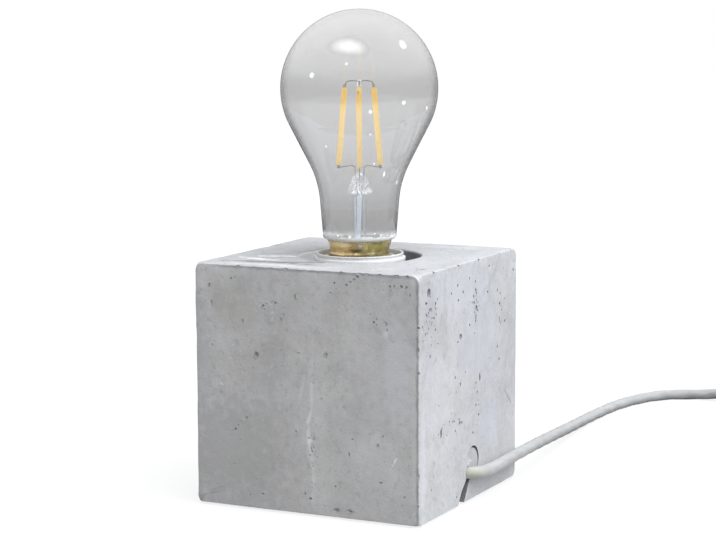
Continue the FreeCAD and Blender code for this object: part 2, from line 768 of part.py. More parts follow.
def contact_rivets():
    rivets = []
    low = SEAT_TOP + TERMINAL_HEIGHT
    head_low = INSERT_TOP + BLADE_THICKNESS
    for side in (-1, 1):
        x = side * TERMINAL_REACH
        head = post(RIVET_HEAD_RADIUS, head_low, head_low + RIVET_HEAD_HEIGHT, x)
        rivets.append(post(RIVET_RADIUS, low, head_low, x).fuse(head))
    return Part.makeCompound(rivets)


def terminal_blocks():
    blocks = []
    half = TERMINAL_SIDE / 2
    for side in (-1, 1):
        x = side * TERMINAL_REACH
        low = SEAT_TOP - OVERRUN
        screw_high = SEAT_TOP + TERMINAL_SCREW_LENGTH
        block = box(x - half, x + half, -half, half, SEAT_TOP, SEAT_TOP + TERMINAL_HEIGHT)
        screw = post(TERMINAL_SCREW_RADIUS, low, screw_high, x, TERMINAL_SCREW_ASIDE)
        core = post(CORE_RADIUS, low, SEAT_TOP + CORE_LENGTH_IN_TERMINAL, x, -TERMINAL_SCREW_ASIDE)
        blocks.append(block.cut(screw).cut(core))
    return Part.makeCompound(blocks)


def terminal_screws():
    screws = []
    for side in (-1, 1):
        x = side * TERMINAL_REACH
        shank_high = SEAT_TOP + TERMINAL_SCREW_LENGTH
        shank = post(TERMINAL_SCREW_RADIUS, SEAT_TOP, shank_high, x, TERMINAL_SCREW_ASIDE)
        head_low = SEAT_TOP - TERMINAL_SCREW_HEAD_HEIGHT
        head = post(TERMINAL_SCREW_HEAD_RADIUS, head_low, SEAT_TOP, x, TERMINAL_SCREW_ASIDE)
        screws.append(shank.fuse(head))
    return Part.makeCompound(screws)


def core_wire(side):
    """One insulated core, from the end of the sheath into its terminal."""
    x = side * TERMINAL_REACH
    fan = (SHEATH_TOP + SEAT_TOP) / 2
    points = [
        Vector(side * CORE_REACH_IN_SHEATH, 0, SHEATH_TOP),
        Vector(side * CORE_REACH_IN_SHEATH, 0, SHEATH_TOP + CORE_RADIUS),
        Vector(x, -TERMINAL_SCREW_ASIDE, fan + CORE_RADIUS),
        Vector(x, -TERMINAL_SCREW_ASIDE, SEAT_TOP + CORE_LENGTH_IN_TERMINAL),
    ]
    return bent_wire(points, CORE_RADIUS)


def bulb_screw_cap():
    """Metal cap of the bulb: a threaded shell with a flared lip and a turned-in foot."""
    flare_low = SCREW_CAP_TOP - FLARE_LIP - FLARE_HEIGHT
    shell = turned(
        (CAP_MOUTH_RADIUS, CAP_FLOOR),
        [
            (THREAD_ROOT_RADIUS - CAP_CHAMFER, CAP_FLOOR),
            (THREAD_ROOT_RADIUS, CAP_FLOOR + CAP_CHAMFER),
            (THREAD_ROOT_RADIUS, flare_low),
            (FLARE_RADIUS, flare_low + FLARE_HEIGHT),
            (FLARE_RADIUS, SCREW_CAP_TOP),
            (SCREW_CAP_BORE, SCREW_CAP_TOP),
            (SCREW_CAP_BORE, CAP_FLOOR + CAP_CHAMFER),
            (CAP_MOUTH_RADIUS, CAP_FLOOR + CAP_FLOOR_THICKNESS),
        ],
    )
    ridge = thread_ridge(
        THREAD_ROOT_WIDTH,
        THREAD_CREST_WIDTH,
        THREAD_ROOT_RADIUS - THREAD_SINK,
        THREAD_CREST_RADIUS,
        THREAD_LOW,
        THREAD_HIGH,
    )
    return shell.fuse(ridge)


def cap_insulator():
    hole = TIP_STEM_RADIUS + TIP_STEM_CLEARANCE
    tip_high = TIP_LOW + TIP_THICKNESS
    return turned(
        (hole, tip_high),
        [
            (TIP_RADIUS, tip_high),
            (CAP_MOUTH_RADIUS, CAP_FLOOR),
            (CAP_MOUTH_RADIUS, CAP_FLOOR + INSULATOR_TOP_RISE),
            (hole, CAP_FLOOR + INSULATOR_TOP_RISE),
        ],
    )


def tip_stem_top():
    return CAP_FLOOR + INSULATOR_TOP_RISE + TIP_THICKNESS


def bulb_tip_contact():
    button = post(TIP_RADIUS, TIP_LOW, TIP_LOW + TIP_THICKNESS)
    return button.fuse(post(TIP_STEM_RADIUS, TIP_LOW, tip_stem_top()))


def envelope_steps(inset):
    """The glass line from its top down to the neck foot, drawn inward by inset."""
    cone = math.radians(CONE_ANGLE)
    neck = math.radians(NECK_ANGLE)
    radius = BULB_RADIUS - inset
    half_way = math.radians((90 - CONE_ANGLE) / 2)
    side = (radius * math.cos(cone), BULB_CENTRE - radius * math.sin(cone))
    foot_r = NECK_FOOT_RADIUS - inset / math.cos(neck)
    # The cone and the neck line meet at the corner that the throat's arc rounds off.
    rise = (side[0] - foot_r - (side[1] - NECK_FOOT) * math.tan(cone)) / (math.tan(neck) - math.tan(cone))
    corner = (foot_r + rise * math.tan(neck), NECK_FOOT + rise)
    throat = THROAT_RADIUS + inset
    reach = throat * math.tan((cone - neck) / 2)
    upper = (corner[0] + reach * math.sin(cone), corner[1] + reach * math.cos(cone))
    lower = (corner[0] - reach * math.sin(neck), corner[1] - reach * math.cos(neck))
    centre = (lower[0] + throat * math.cos(neck), lower[1] - throat * math.sin(neck))
    middle = (cone + neck) / 2
    bend = (centre[0] - throat * math.cos(middle), centre[1] + throat * math.sin(middle))
    crown = (radius * math.cos(half_way), BULB_CENTRE + radius * math.sin(half_way))
    return [(crown, side), upper, (bend, lower), (foot_r, NECK_FOOT)]


def bulb_glass():
    """Blown envelope with its narrow collar, which the screw cap takes."""
    bend_in, bend_down = SHOULDER_BEND_SHARES
    shoulder_low = NECK_FOOT - SHOULDER_HEIGHT
    collar_low = SCREW_CAP_TOP - COLLAR_DEPTH
    outer = envelope_steps(0)
    outer += [
        (
            (NECK_FOOT_RADIUS - SHOULDER_WIDTH * bend_in, NECK_FOOT - SHOULDER_HEIGHT * bend_down),
            (NECK_FOOT_RADIUS - SHOULDER_WIDTH, shoulder_low),
        ),
        (COLLAR_RADIUS, shoulder_low),
        (COLLAR_RADIUS, collar_low),
        (0, collar_low),
    ]
    inner = envelope_steps(BULB_WALL)
    inner += [
        (COLLAR_RADIUS - BULB_WALL, shoulder_low + BULB_WALL),
        (COLLAR_RADIUS - BULB_WALL, collar_low - OVERRUN),
        (0, collar_low - OVERRUN),
    ]
    return turned((0, BULB_TOP), outer).cut(turned((0, BULB_TOP - BULB_WALL), inner))


def cap_cement():
    """White cement between the collar and the screw cap, seen as a pale line over the cap."""
    collar_low = SCREW_CAP_TOP - COLLAR_DEPTH
    shoulder_low = NECK_FOOT - SHOULDER_HEIGHT
    inner = ring(SCREW_CAP_BORE, COLLAR_RADIUS, collar_low, SCREW_CAP_TOP)
    lip = ring(CEMENT_RADIUS, COLLAR_RADIUS, SCREW_CAP_TOP, shoulder_low)
    return inner.fuse(lip).removeSplitter()


def bulb_stem():
    """Glass mount: flared tube, pinch, exhaust tube and the rod that carries the filaments."""
    low = SCREW_CAP_TOP - COLLAR_DEPTH
    pinch_low = SCREW_CAP_TOP + PINCH_LOW
    pinch_high = pinch_low + PINCH_HEIGHT
    flare_radius = COLLAR_RADIUS - BULB_WALL - STEM_FLARE_GAP
    flare = turned(
        (flare_radius - STEM_WALL, low),
        [
            (flare_radius, low),
            (STEM_TUBE_RADIUS, low + STEM_FLARE_HEIGHT),
            (STEM_TUBE_RADIUS, pinch_low),
            (STEM_TUBE_RADIUS - STEM_WALL, pinch_low),
            (STEM_TUBE_RADIUS - STEM_WALL, low + STEM_FLARE_HEIGHT),
        ],
    )
    half_wide = PINCH_WIDTH / 2
    half_thick = PINCH_THICKNESS / 2
    pinch = box(-half_wide, half_wide, -half_thick, half_thick, pinch_low - STEM_WALL, pinch_high)
    pinch = pinch.makeFillet(PINCH_EDGE_RADIUS, pinch.Edges)
    pinch.rotate(ORIGIN, UP, STICK_TURN + 90)
    exhaust = post(EXHAUST_RADIUS, low, pinch_low)
    middle_rod = post(ROD_RADIUS, pinch_high - STEM_WALL, BULB_TOP - ROD_TOP_DROP)
    return flare.multiFuse([pinch, exhaust, middle_rod]).removeSplitter()


def around(reach, angle, z):
    turn = math.radians(angle)
    return Vector(reach * math.cos(turn), reach * math.sin(turn), z)


def stick_angles():
    return [STICK_TURN + i * FULL_TURN / STICK_COUNT for i in range(STICK_COUNT)]


def filament_sticks():
    top = BULB_TOP - STICK_TOP_DROP
    foot = BULB_TOP - STICK_FOOT_DROP
    sticks = []
    for angle in stick_angles():
        low_end = around(STICK_FOOT_REACH, angle, foot)
        high_end = around(STICK_TOP_REACH, angle, top)
        sticks.append(rod(low_end, high_end, STICK_RADIUS))
    return Part.makeCompound(sticks)


def filament_wires():
    """Spring wires that carry each stick from the glass rod at its top and from the pinch at its foot."""
    top = BULB_TOP - STICK_TOP_DROP
    foot = BULB_TOP - STICK_FOOT_DROP
    pinch_high = SCREW_CAP_TOP + PINCH_LOW + PINCH_HEIGHT
    lean = (STICK_FOOT_REACH - STICK_TOP_REACH) / (top - foot)
    wires = []
    for i, angle in enumerate(stick_angles()):
        over = top + WIRE_TOP_RISE
        under = foot - WIRE_FOOT_DROP
        upper = [
            around(STICK_TOP_REACH, angle, top),
            around(STICK_TOP_REACH - lean * WIRE_TOP_RISE, angle, over),
            around(ROD_RADIUS, angle, over - WIRE_DIP_AT_ROD),
        ]
        pinch_half = (PINCH_WIDTH if i % 2 else PINCH_THICKNESS) / 2
        lower = [
            around(STICK_FOOT_REACH, angle, foot),
            around(STICK_FOOT_REACH + lean * WIRE_FOOT_DROP, angle, under),
            around(pinch_half - WIRE_INSET_ON_PINCH, angle, pinch_high),
        ]
        wires.append(bent_wire(upper, WIRE_RADIUS))
        wires.append(bent_wire(lower, WIRE_RADIUS))
    return Part.makeCompound(wires)


def lead_wires():
    """Two leads that drop from the pinch, inside the flared tube, to the driver board."""
    high = SCREW_CAP_TOP + PINCH_LOW - STEM_WALL
    low = SCREW_CAP_TOP - BOARD_DROP
    leads = [rod(around(LEAD_REACH, a, low), around(LEAD_REACH, a, high), LEAD_RADIUS) for a in (0, 180)]
    return Part.makeCompound(leads)


def driver_board():
    """Round circuit board in the screw cap, with its capacitor and its chip underneath."""
    top = SCREW_CAP_TOP - BOARD_DROP
    under = top - BOARD_THICKNESS
    board = post(BOARD_RADIUS, under, top)
    capacitor = post(CAPACITOR_RADIUS, under - CAPACITOR_LENGTH, under, CAPACITOR_REACH)
    half = CHIP_SIDE / 2
    chip = box(-CHIP_REACH - half, -CHIP_REACH + half, -half, half, under - CHIP_HEIGHT, under)
    return board.multiFuse([capacitor, chip])


def board_wires():
    """One wire from the board down to the centre contact's stem and one out to the threaded shell."""
    top = SCREW_CAP_TOP - BOARD_DROP
    under = top - BOARD_THICKNESS
    tip_wire = post(BOARD_WIRE_RADIUS, tip_stem_top() + FIT_CLEARANCE, under)
    over = top + SHELL_WIRE_RISE
    shell_wire = bent_wire(
        [
            Vector(0, -SHELL_WIRE_REACH, top),
            Vector(0, -SHELL_WIRE_REACH, over),
            Vector(0, FIT_CLEARANCE - SCREW_CAP_BORE, over),
        ],
        BOARD_WIRE_RADIUS,
    )
    return Part.makeCompound([tip_wire, shell_wire])


def switch_hull():
    hull = rounded_slab(SWITCH_LENGTH, SWITCH_WIDTH, SWITCH_CORNER_RADIUS, 0, SWITCH_HEIGHT)
    level = [edge for edge in hull.Edges if edge.BoundBox.ZLength < SWITCH_EDGE_RADIUS]
    hull = hull.makeFillet(SWITCH_EDGE_RADIUS, level)
    reach = SWITCH_LENGTH / 2 + SWITCH_COLLAR_LENGTH
    start = Vector(-reach, 0, SWITCH_PARTING)
    hull = hull.fuse(rod(start, Vector(reach, 0, SWITCH_PARTING), SWITCH_COLLAR_RADIUS))
    hollow = rounded_slab(
        SWITCH_LENGTH - 2 * SWITCH_WALL,
        SWITCH_WIDTH - 2 * SWITCH_WALL,
        SWITCH_CORNER_RADIUS - SWITCH_WALL,
        SWITCH_WALL,
        SWITCH_HEIGHT - SWITCH_WALL,
    )
    bore_start = Vector(-reach - OVERRUN, 0, SWITCH_PARTING)
    bore_end = Vector(reach + OVERRUN, 0, SWITCH_PARTING)
    return hull.cut(hollow).cut(rod(bore_start, bore_end, CORD_DIAMETER / 2 + CORD_CLEARANCE))


def switch_half(low, high):
    reach = SWITCH_LENGTH / 2 + SWITCH_COLLAR_LENGTH + OVERRUN
    return switch_hull().common(box(-reach, reach, -reach, reach, low, high))


def pillar_places():
    return [(PILLAR_REACH, -PILLAR_ASIDE), (-PILLAR_REACH, PILLAR_ASIDE)]


def switch_lower_case():
    case = switch_half(-OVERRUN, SWITCH_PARTING)
    for x, y in pillar_places():
        case = case.fuse(post(PILLAR_RADIUS, SWITCH_WALL / 2, SWITCH_PARTING, x, y))
    for x, y in pillar_places():
        hole = post(CASE_SCREW_RADIUS + CASE_SCREW_CLEARANCE, -OVERRUN, SWITCH_PARTING + OVERRUN, x, y)
        sink_high = CASE_SCREW_SINK + CASE_SCREW_HEAD_HEIGHT
        sink = post(CASE_SCREW_HEAD_RADIUS + CASE_SCREW_CLEARANCE, -OVERRUN, sink_high, x, y)
        case = case.cut(hole).cut(sink)
    return case


def switch_upper_case():
    """Roof of the switch, with the rocker's window and the two bearers that take its axle."""
    roof_under = SWITCH_HEIGHT - SWITCH_WALL
    case = switch_half(SWITCH_PARTING, SWITCH_HEIGHT + OVERRUN)
    for x, y in pillar_places():
        case = case.fuse(post(PILLAR_RADIUS, SWITCH_PARTING, SWITCH_HEIGHT - SWITCH_WALL / 2, x, y))
        screw_high = CASE_SCREW_SINK + CASE_SCREW_HEAD_HEIGHT + CASE_SCREW_LENGTH
        case = case.cut(post(CASE_SCREW_RADIUS, SWITCH_PARTING - OVERRUN, screw_high, x, y))
    window_x = ROCKER_LENGTH / 2 + ROCKER_GAP
    window_y = ROCKER_WIDTH / 2 + ROCKER_SIDE_GAP
    window = box(-window_x, window_x, -window_y, window_y, roof_under - OVERRUN, SWITCH_HEIGHT + OVERRUN)
    case = case.cut(window)
    for side in (-1, 1):
        low_y, high_y = sorted((side * window_y, side * (window_y + BEARER_THICKNESS)))
        half = BEARER_LENGTH / 2
        case = case.fuse(box(-half, half, low_y, high_y, roof_under - BEARER_DEPTH, roof_under))
    reach = window_y + BEARER_THICKNESS - AXLE_CLEARANCE
    start = Vector(0, -reach, ROCKER_PIVOT)
    end = Vector(0, reach, ROCKER_PIVOT)
    return case.cut(rod(start, end, AXLE_RADIUS + AXLE_CLEARANCE))


def rocker_turned(shape):
    """Tilts a shape drawn level about the rocker's axle into the rest pose, one end pressed."""
    shape.rotate(ORIGIN, Vector(0, 1, 0), ROCKER_TILT)
    shape.translate(Vector(0, 0, ROCKER_PIVOT))
    return shape


def switch_rocker():
    half = ROCKER_LENGTH / 2
    foot = half * ROCKER_FOOT_SHARE
    face = Part.Face(
        outline(
            (-foot, -ROCKER_DEPTH),
            [
                (foot, -ROCKER_DEPTH),
                (half, 0),
                (half, ROCKER_END_RISE),
                ((0, ROCKER_END_RISE - ROCKER_DIP), (-half, ROCKER_END_RISE)),
                (-half, 0),
            ],
        )
    )
    body = face.extrude(Vector(0, ROCKER_WIDTH, 0))
    body.translate(Vector(0, -ROCKER_WIDTH / 2, 0))
    reach = ROCKER_WIDTH / 2 + AXLE_LENGTH
    axle = rod(Vector(0, -reach, 0), Vector(0, reach, 0), AXLE_RADIUS)
    return rocker_turned(body.fuse(axle))


def switch_bridge():
    """Metal bridge under the rocker that joins the two contacts when its end is pressed."""
    low = -ROCKER_DEPTH - BRIDGE_THICKNESS
    half = BRIDGE_LENGTH / 2
    return rocker_turned(box(-half, half, -BRIDGE_WIDTH / 2, BRIDGE_WIDTH / 2, low, -ROCKER_DEPTH))


def switch_contacts():
    """The saddle that the bridge rocks on, and the contact that its pressed end comes down to."""
    near = CONTACT_REACH - CONTACT_LENGTH / 2
    far = CONTACT_REACH + CONTACT_LENGTH / 2
    half = CONTACT_WIDTH / 2
    touch_high = ROCKER_PIVOT - TOUCH_DROP
    saddle_z = ROCKER_PIVOT - ROCKER_DEPTH - BRIDGE_THICKNESS - SADDLE_RADIUS - FIT_CLEARANCE
    saddle_high = saddle_z - CONTACT_THICKNESS
    saddle_block = box(-far, -near, -half, half, SWITCH_WALL, saddle_high)
    saddle_low = saddle_high - CONTACT_THICKNESS
    saddle_end = SADDLE_TONGUE_LENGTH - near
    saddle_tongue = box(-near, saddle_end, -half, half, saddle_low, saddle_high)
    riser = box(-SADDLE_RADIUS, SADDLE_RADIUS, -half, half, saddle_low, saddle_z)
    crown = rod(Vector(0, -half, saddle_z), Vector(0, half, saddle_z), SADDLE_RADIUS)
    touch_block = box(near, far, -half, half, SWITCH_WALL, touch_high)
    touch_start = near - TOUCH_TONGUE_LENGTH
    touch_tongue = box(touch_start, near, -half, half, touch_high - CONTACT_THICKNESS, touch_high)
    saddle = saddle_block.multiFuse([saddle_tongue, riser, crown]).removeSplitter()
    touch = touch_block.fuse(touch_tongue).removeSplitter()
    return Part.makeCompound([saddle, touch])


def switch_live_cores():
    """The live core from each cord end to the contact on its side."""
    sheath_end = switch_ends()[0]
    block_end = CONTACT_REACH + CONTACT_LENGTH / 2
    cores = []
    for side in (-1, 1):
        start = Vector(side * sheath_end, CORE_REACH_IN_SHEATH, SWITCH_PARTING)
        end = Vector(side * block_end, CORE_REACH_IN_SHEATH, SWITCH_PARTING)
        cores.append(rod(start, end, CORE_RADIUS))
    return Part.makeCompound(cores)


def switch_neutral_core():
    """The neutral core that passes the contacts from one cord end to the other."""
    sheath_end = switch_ends()[0]
    bare = sheath_end - SWITCH_CORE_RUN
    lane = bare - SWITCH_CORE_BEND
    half = [
        (sheath_end, -CORE_REACH_IN_SHEATH),
        (bare, -CORE_REACH_IN_SHEATH),
        (lane, -SWITCH_CORE_LANE),
    ]
    points = [Vector(-x, y, SWITCH_PARTING) for x, y in half]
    points += [Vector(x, y, SWITCH_PARTING) for x, y in reversed(half)]
    return bent_wire(points, CORE_RADIUS)


def switch_screws():
    screws = []
    head_high = CASE_SCREW_SINK + CASE_SCREW_HEAD_HEIGHT
    for x, y in pillar_places():
        head = post(CASE_SCREW_HEAD_RADIUS, CASE_SCREW_SINK, head_high, x, y)
        shank = post(CASE_SCREW_RADIUS, CASE_SCREW_SINK, head_high + CASE_SCREW_LENGTH, x, y)
        screws.append(head.fuse(shank))
    return Part.makeCompound(screws)


def lying(shape):
    """Lays a shape turned about Z along X, at the height of the plug's middle line."""
    shape.rotate(ORIGIN, Vector(0, 1, 0), 90)
    shape.translate(Vector(0, 0, PLUG_AXIS))
    return shape


def plug_strain_relief():
    corners = [(RELIEF_TIP_RADIUS, 0), (RELIEF_ROOT_RADIUS, RELIEF_LENGTH), (0, RELIEF_LENGTH)]
    relief = turned((0, 0), corners)
    spacing = RELIEF_LENGTH / (RELIEF_GROOVES + 1)
    for i in range(RELIEF_GROOVES):
        middle = spacing * (i + 1)
        share = middle / RELIEF_LENGTH
        radius = RELIEF_TIP_RADIUS + (RELIEF_ROOT_RADIUS - RELIEF_TIP_RADIUS) * share
        low = middle - RELIEF_GROOVE_WIDTH / 2
        high = middle + RELIEF_GROOVE_WIDTH / 2
        relief = relief.cut(ring(RELIEF_ROOT_RADIUS + OVERRUN, radius - RELIEF_GROOVE_DEPTH, low, high))
    return lying(relief)


def plug_body():
    start = RELIEF_LENGTH
    knee = start + PLUG_LENGTH * PLUG_TAPER_SHARE
    end = start + PLUG_LENGTH
    half = PLUG_WIDTH / 2
    back = PLUG_BACK_WIDTH / 2
    corners = [(start, -back), (knee, -half), (end, -half), (end, half), (knee, half), (start, back)]
    line = Part.makePolygon([Vector(x, y, 0) for x, y in corners + corners[:1]])
    body = Part.Face(line).extrude(Vector(0, 0, PLUG_THICKNESS))
    body = body.makeFillet(PLUG_EDGE_RADIUS, body.Edges)
    for side in (-1, 1):
        y = side * PIN_SPACING / 2
        root = Vector(end - PIN_ROOT, y, PLUG_AXIS)
        body = body.cut(rod(root, Vector(end + OVERRUN, y, PLUG_AXIS), PIN_CORE_RADIUS))
    return body


def plug_pins():
    pins = []
    end = RELIEF_LENGTH + PLUG_LENGTH
    for side in (-1, 1):
        y = side * PIN_SPACING / 2
        bare = end + PIN_SLEEVE_LENGTH
        tip = end + PIN_LENGTH - PIN_RADIUS
        core = rod(Vector(end - PIN_ROOT, y, PLUG_AXIS), Vector(bare, y, PLUG_AXIS), PIN_CORE_RADIUS)
        metal = rod(Vector(bare, y, PLUG_AXIS), Vector(tip, y, PLUG_AXIS), PIN_RADIUS)
        ball = Part.makeSphere(PIN_RADIUS, Vector(tip, y, PLUG_AXIS))
        pins.append(core.multiFuse([metal, ball]).removeSplitter())
    return Part.makeCompound(pins)


def plug_pin_sleeves():
    sleeves = []
    start = RELIEF_LENGTH + PLUG_LENGTH
    end = start + PIN_SLEEVE_LENGTH
    for side in (-1, 1):
        y = side * PIN_SPACING / 2
        sleeve = rod(Vector(start, y, PLUG_AXIS), Vector(end, y, PLUG_AXIS), PIN_RADIUS)
        before = Vector(start - OVERRUN, y, PLUG_AXIS)
        past = Vector(end + OVERRUN, y, PLUG_AXIS)
        sleeves.append(sleeve.cut(rod(before, past, PIN_CORE_RADIUS)))
    return Part.makeCompound(sleeves)


def switch_point(reach, z):
    turn = math.radians(SWITCH_HEADING)
    return Vector(SWITCH_X + reach * math.cos(turn), SWITCH_Y + reach * math.sin(turn), z)


def switch_ends():
    """Where the cord ends inside the switch, and where it is still in line with it outside."""
    inside = SWITCH_LENGTH / 2 - SWITCH_WALL - SWITCH_CORD_DEPTH
    outside = SWITCH_LENGTH / 2 + SWITCH_COLLAR_LENGTH + SWITCH_RUN
    return inside, outside


def coil_point(turns):
    """The coil's middle line after so many turns: inward on the lower layer, outward on the upper."""
    angle = -turns * 2 * math.pi
    from_reversal = abs(turns - COIL_TURNS_PER_LAYER)
    inner = COIL_OUTER_RADIUS - COIL_STEP * COIL_TURNS_PER_LAYER
    radius = inner + COIL_STEP * from_reversal
    climb = (turns - COIL_TURNS_PER_LAYER) / COIL_CLIMB_TURNS + 1 / 2
    climb = min(max(climb, 0), 1)
    rise = COIL_LAYER_RISE * (1 - math.cos(math.pi * climb)) / 2
    return Vector(
        COIL_X + radius * math.cos(angle),
        COIL_Y + radius * math.sin(angle),
        COIL_REST + rise,
    )


def coil_heading(turns):
    """Direction of the coil's middle line, taken level and square at its two ends."""
    last = 2 * COIL_TURNS_PER_LAYER
    if turns <= 0:
        return Vector(0, -1, 0)
    if turns >= last:
        angle = -last * 2 * math.pi
        return Vector(math.sin(angle), -math.cos(angle), 0)
    near = 1 / 1000
    return (coil_point(turns + near) - coil_point(turns - near)).normalize()


def arc_between(start, corner, end):
    """The arc that leaves start towards corner and comes to end from it, the corner as far from both."""
    chord_middle = (start + end) / 2
    half_chord = (end - start).Length / 2
    height = (corner - chord_middle).Length
    radius = (corner - start).Length * half_chord / height
    sagitta = radius - math.sqrt(radius**2 - half_chord**2)
    middle = chord_middle + (corner - chord_middle) * (sagitta / height)
    return Part.Arc(start, middle, end).toShape()


def biarc(start, leave, end, arrive):
    """Two tangent arcs from start, heading leave, to end, heading arrive."""
    across = end - start
    both = leave + arrive
    spread = 2 * (1 - leave.dot(arrive))
    along = across.dot(both)
    reach = (-along + math.sqrt(along**2 + spread * across.dot(across))) / spread
    first = start + leave * reach
    second = end - arrive * reach
    joint = (first + second) / 2
    return [arc_between(start, first, joint), arc_between(joint, second, end)]


def coil_edges():
    edges = []
    for i in range(round(2 * COIL_TURNS_PER_LAYER * COIL_PARTS_PER_TURN)):
        before = i / COIL_PARTS_PER_TURN
        after = (i + 1) / COIL_PARTS_PER_TURN
        edges += biarc(coil_point(before), coil_heading(before), coil_point(after), coil_heading(after))
    return edges


def least_self_gap(edges, radius):
    """The smallest distance between turns, less the tube's thickness, on points along the middle line."""
    points = []
    travelled = 0.0
    samples = 6
    for edge in edges:
        span = edge.LastParameter - edge.FirstParameter
        for i in range(samples):
            share = i / samples
            point = edge.valueAt(edge.FirstParameter + span * share)
            points.append((travelled + edge.Length * share, point))
        travelled += edge.Length
    # Points nearer than this along the cord are neighbours, not another turn.
    apart = 8 * radius
    least = min(
        (b - a).Length
        for i, (here, a) in enumerate(points)
        for there, b in points[i + 1 :]
        if there - here > apart
    )
    return least - 2 * radius


def cord_coil():
    """The put-away cord: two layers of turns and a straight diameter of cord at each end."""
    radius = CORD_DIAMETER / 2
    last = 2 * COIL_TURNS_PER_LAYER
    start = coil_point(0)
    end = coil_point(last)
    lead_in = Part.LineSegment(start - coil_heading(0) * CORD_DIAMETER, start).toShape()
    lead_out = Part.LineSegment(end, end + coil_heading(last) * CORD_DIAMETER).toShape()
    edges = coil_edges()
    wire = Part.Wire([lead_in] + edges + [lead_out])
    solid = swept(wire, start - coil_heading(0) * CORD_DIAMETER, coil_heading(0), radius)
    share = solid.Volume / (math.pi * radius**2 * wire.Length)
    gap = least_self_gap(edges, radius)
    print("cord_coil: length %.1f, volume share %.4f, least gap to itself %.2f" % (wire.Length, share, gap))
    return solid


def lamp_to_switch_points():
    inside, outside = switch_ends()
    ends = [switch_point(-outside, SWITCH_PARTING), switch_point(-inside, SWITCH_PARTING)]
    outlet, outward = tunnel_line()
    first = [outlet - outward * OUTLET_INSET, outlet + outward * OUTLET_RUN]
    return first + [Vector(*point) for point in LAMP_ROUTE] + ends


def switch_to_coil_points():
    inside, outside = switch_ends()
    first = [switch_point(inside, SWITCH_PARTING), switch_point(outside, SWITCH_PARTING)]
    entry = coil_point(0) - coil_heading(0) * CORD_DIAMETER
    before = entry - coil_heading(0) * COIL_RUN_IN
    return first + [Vector(*point) for point in SWITCH_ROUTE] + [before, entry]


def coil_to_plug_points():
    last = 2 * COIL_TURNS_PER_LAYER
    leave = coil_point(last) + coil_heading(last) * CORD_DIAMETER
    clear = leave + coil_heading(last) * PLUG_RUN_OUT
    tip = Vector(PLUG_X, PLUG_Y, PLUG_AXIS)
    before = Vector(PLUG_X, PLUG_Y - PLUG_RUN_OUT, PLUG_AXIS)
    return [leave, clear] + [Vector(*point) for point in PLUG_ROUTE] + [before, tip]


def coil_tie():
    """Flat strap round all the turns at one place."""
    half_cord = CORD_DIAMETER / 2
    turn_share = (FULL_TURN - TIE_ANGLE) / FULL_TURN
    outer_turn = COIL_OUTER_RADIUS - COIL_STEP * turn_share
    turns = math.floor(COIL_TURNS_PER_LAYER - turn_share)
    inner_turn = outer_turn - COIL_STEP * turns
    near = inner_turn - half_cord - TIE_SIDE_GAP
    far = outer_turn + half_cord + TIE_SIDE_GAP
    low = COIL_REST - half_cord - TIE_GAP
    high = COIL_REST + COIL_LAYER_RISE + half_cord + TIE_GAP
    half = TIE_WIDTH / 2
    thick = TIE_THICKNESS
    outer = box(near - thick, far + thick, -half, half, low - thick, high + thick)
    hollow = box(near, far, -half - OVERRUN, half + OVERRUN, low, high)
    return placed(outer.cut(hollow), COIL_X, COIL_Y, TIE_ANGLE)


def lamp_pieces():
    return {
        "concrete_block": concrete_block(),
        "base_pad": base_pad(),
        "exit_mortar": exit_mortar(),
        "threaded_nipple": threaded_nipple(),
        "shelf_washer": shelf_washer(),
        "lock_nut": lock_nut(),
        "cord_grip": cord_grip(),
        "grip_screw": grip_screw(),
        "cord_inside": inside_cord(CORD_DIAMETER / 2),
        "live_core": core_wire(-1),
        "neutral_core": core_wire(1),
        "holder_cap": holder_cap(),
        "holder_skirt": holder_skirt(),
        "holder_insert": holder_insert(),
        "screw_sleeve": screw_sleeve(),
        "centre_contact": centre_contact(),
        "side_contact": side_contact(),
        "contact_rivets": contact_rivets(),
        "terminal_blocks": terminal_blocks(),
        "terminal_screws": terminal_screws(),
    }


def bulb_pieces():
    return {
        "bulb_glass": bulb_glass(),
        "bulb_screw_cap": bulb_screw_cap(),
        "cap_cement": cap_cement(),
        "cap_insulator": cap_insulator(),
        "bulb_tip_contact": bulb_tip_contact(),
        "bulb_stem": bulb_stem(),
        "filament_sticks": filament_sticks(),
        "filament_wires": filament_wires(),
        "lead_wires": lead_wires(),
        "driver_board": driver_board(),
        "board_wires": board_wires(),
    }


def cord_pieces():
    radius = CORD_DIAMETER / 2
    routes = {
        "cord_lamp_to_switch": lamp_to_switch_points(),
        "cord_switch_to_coil": switch_to_coil_points(),
        "cord_coil_to_plug": coil_to_plug_points(),
    }
    pieces = {name: cord(name, points, free_radii(points), radius) for name, points in routes.items()}
    pieces["cord_coil"] = cord_coil()
    pieces["coil_tie"] = coil_tie()
    return pieces


def switch_pieces():
    shapes = {
        "switch_lower_case": switch_lower_case(),
        "switch_upper_case": switch_upper_case(),
        "switch_rocker": switch_rocker(),
        "switch_bridge": switch_bridge(),
        "switch_contacts": switch_contacts(),
        "switch_live_cores": switch_live_cores(),
        "switch_neutral_core": switch_neutral_core(),
        "switch_screws": switch_screws(),
    }
    return {name: placed(shape, SWITCH_X, SWITCH_Y, SWITCH_HEADING) for name, shape in shapes.items()}


def plug_pieces():
    shapes = {
        "plug_body": plug_body(),
        "plug_strain_relief": plug_strain_relief(),
        "plug_pins": plug_pins(),
        "plug_pin_sleeves": plug_pin_sleeves(),
    }
    return {name: placed(shape, PLUG_X, PLUG_Y, PLUG_HEADING) for name, shape in shapes.items()}


def main():
    os.makedirs("parts", exist_ok=True)
    for pieces in (lamp_pieces(), bulb_pieces(), cord_pieces(), switch_pieces(), plug_pieces()):
        for name, shape in pieces.items():
            save(name, shape)


main()
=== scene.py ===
import functools
import math
import random

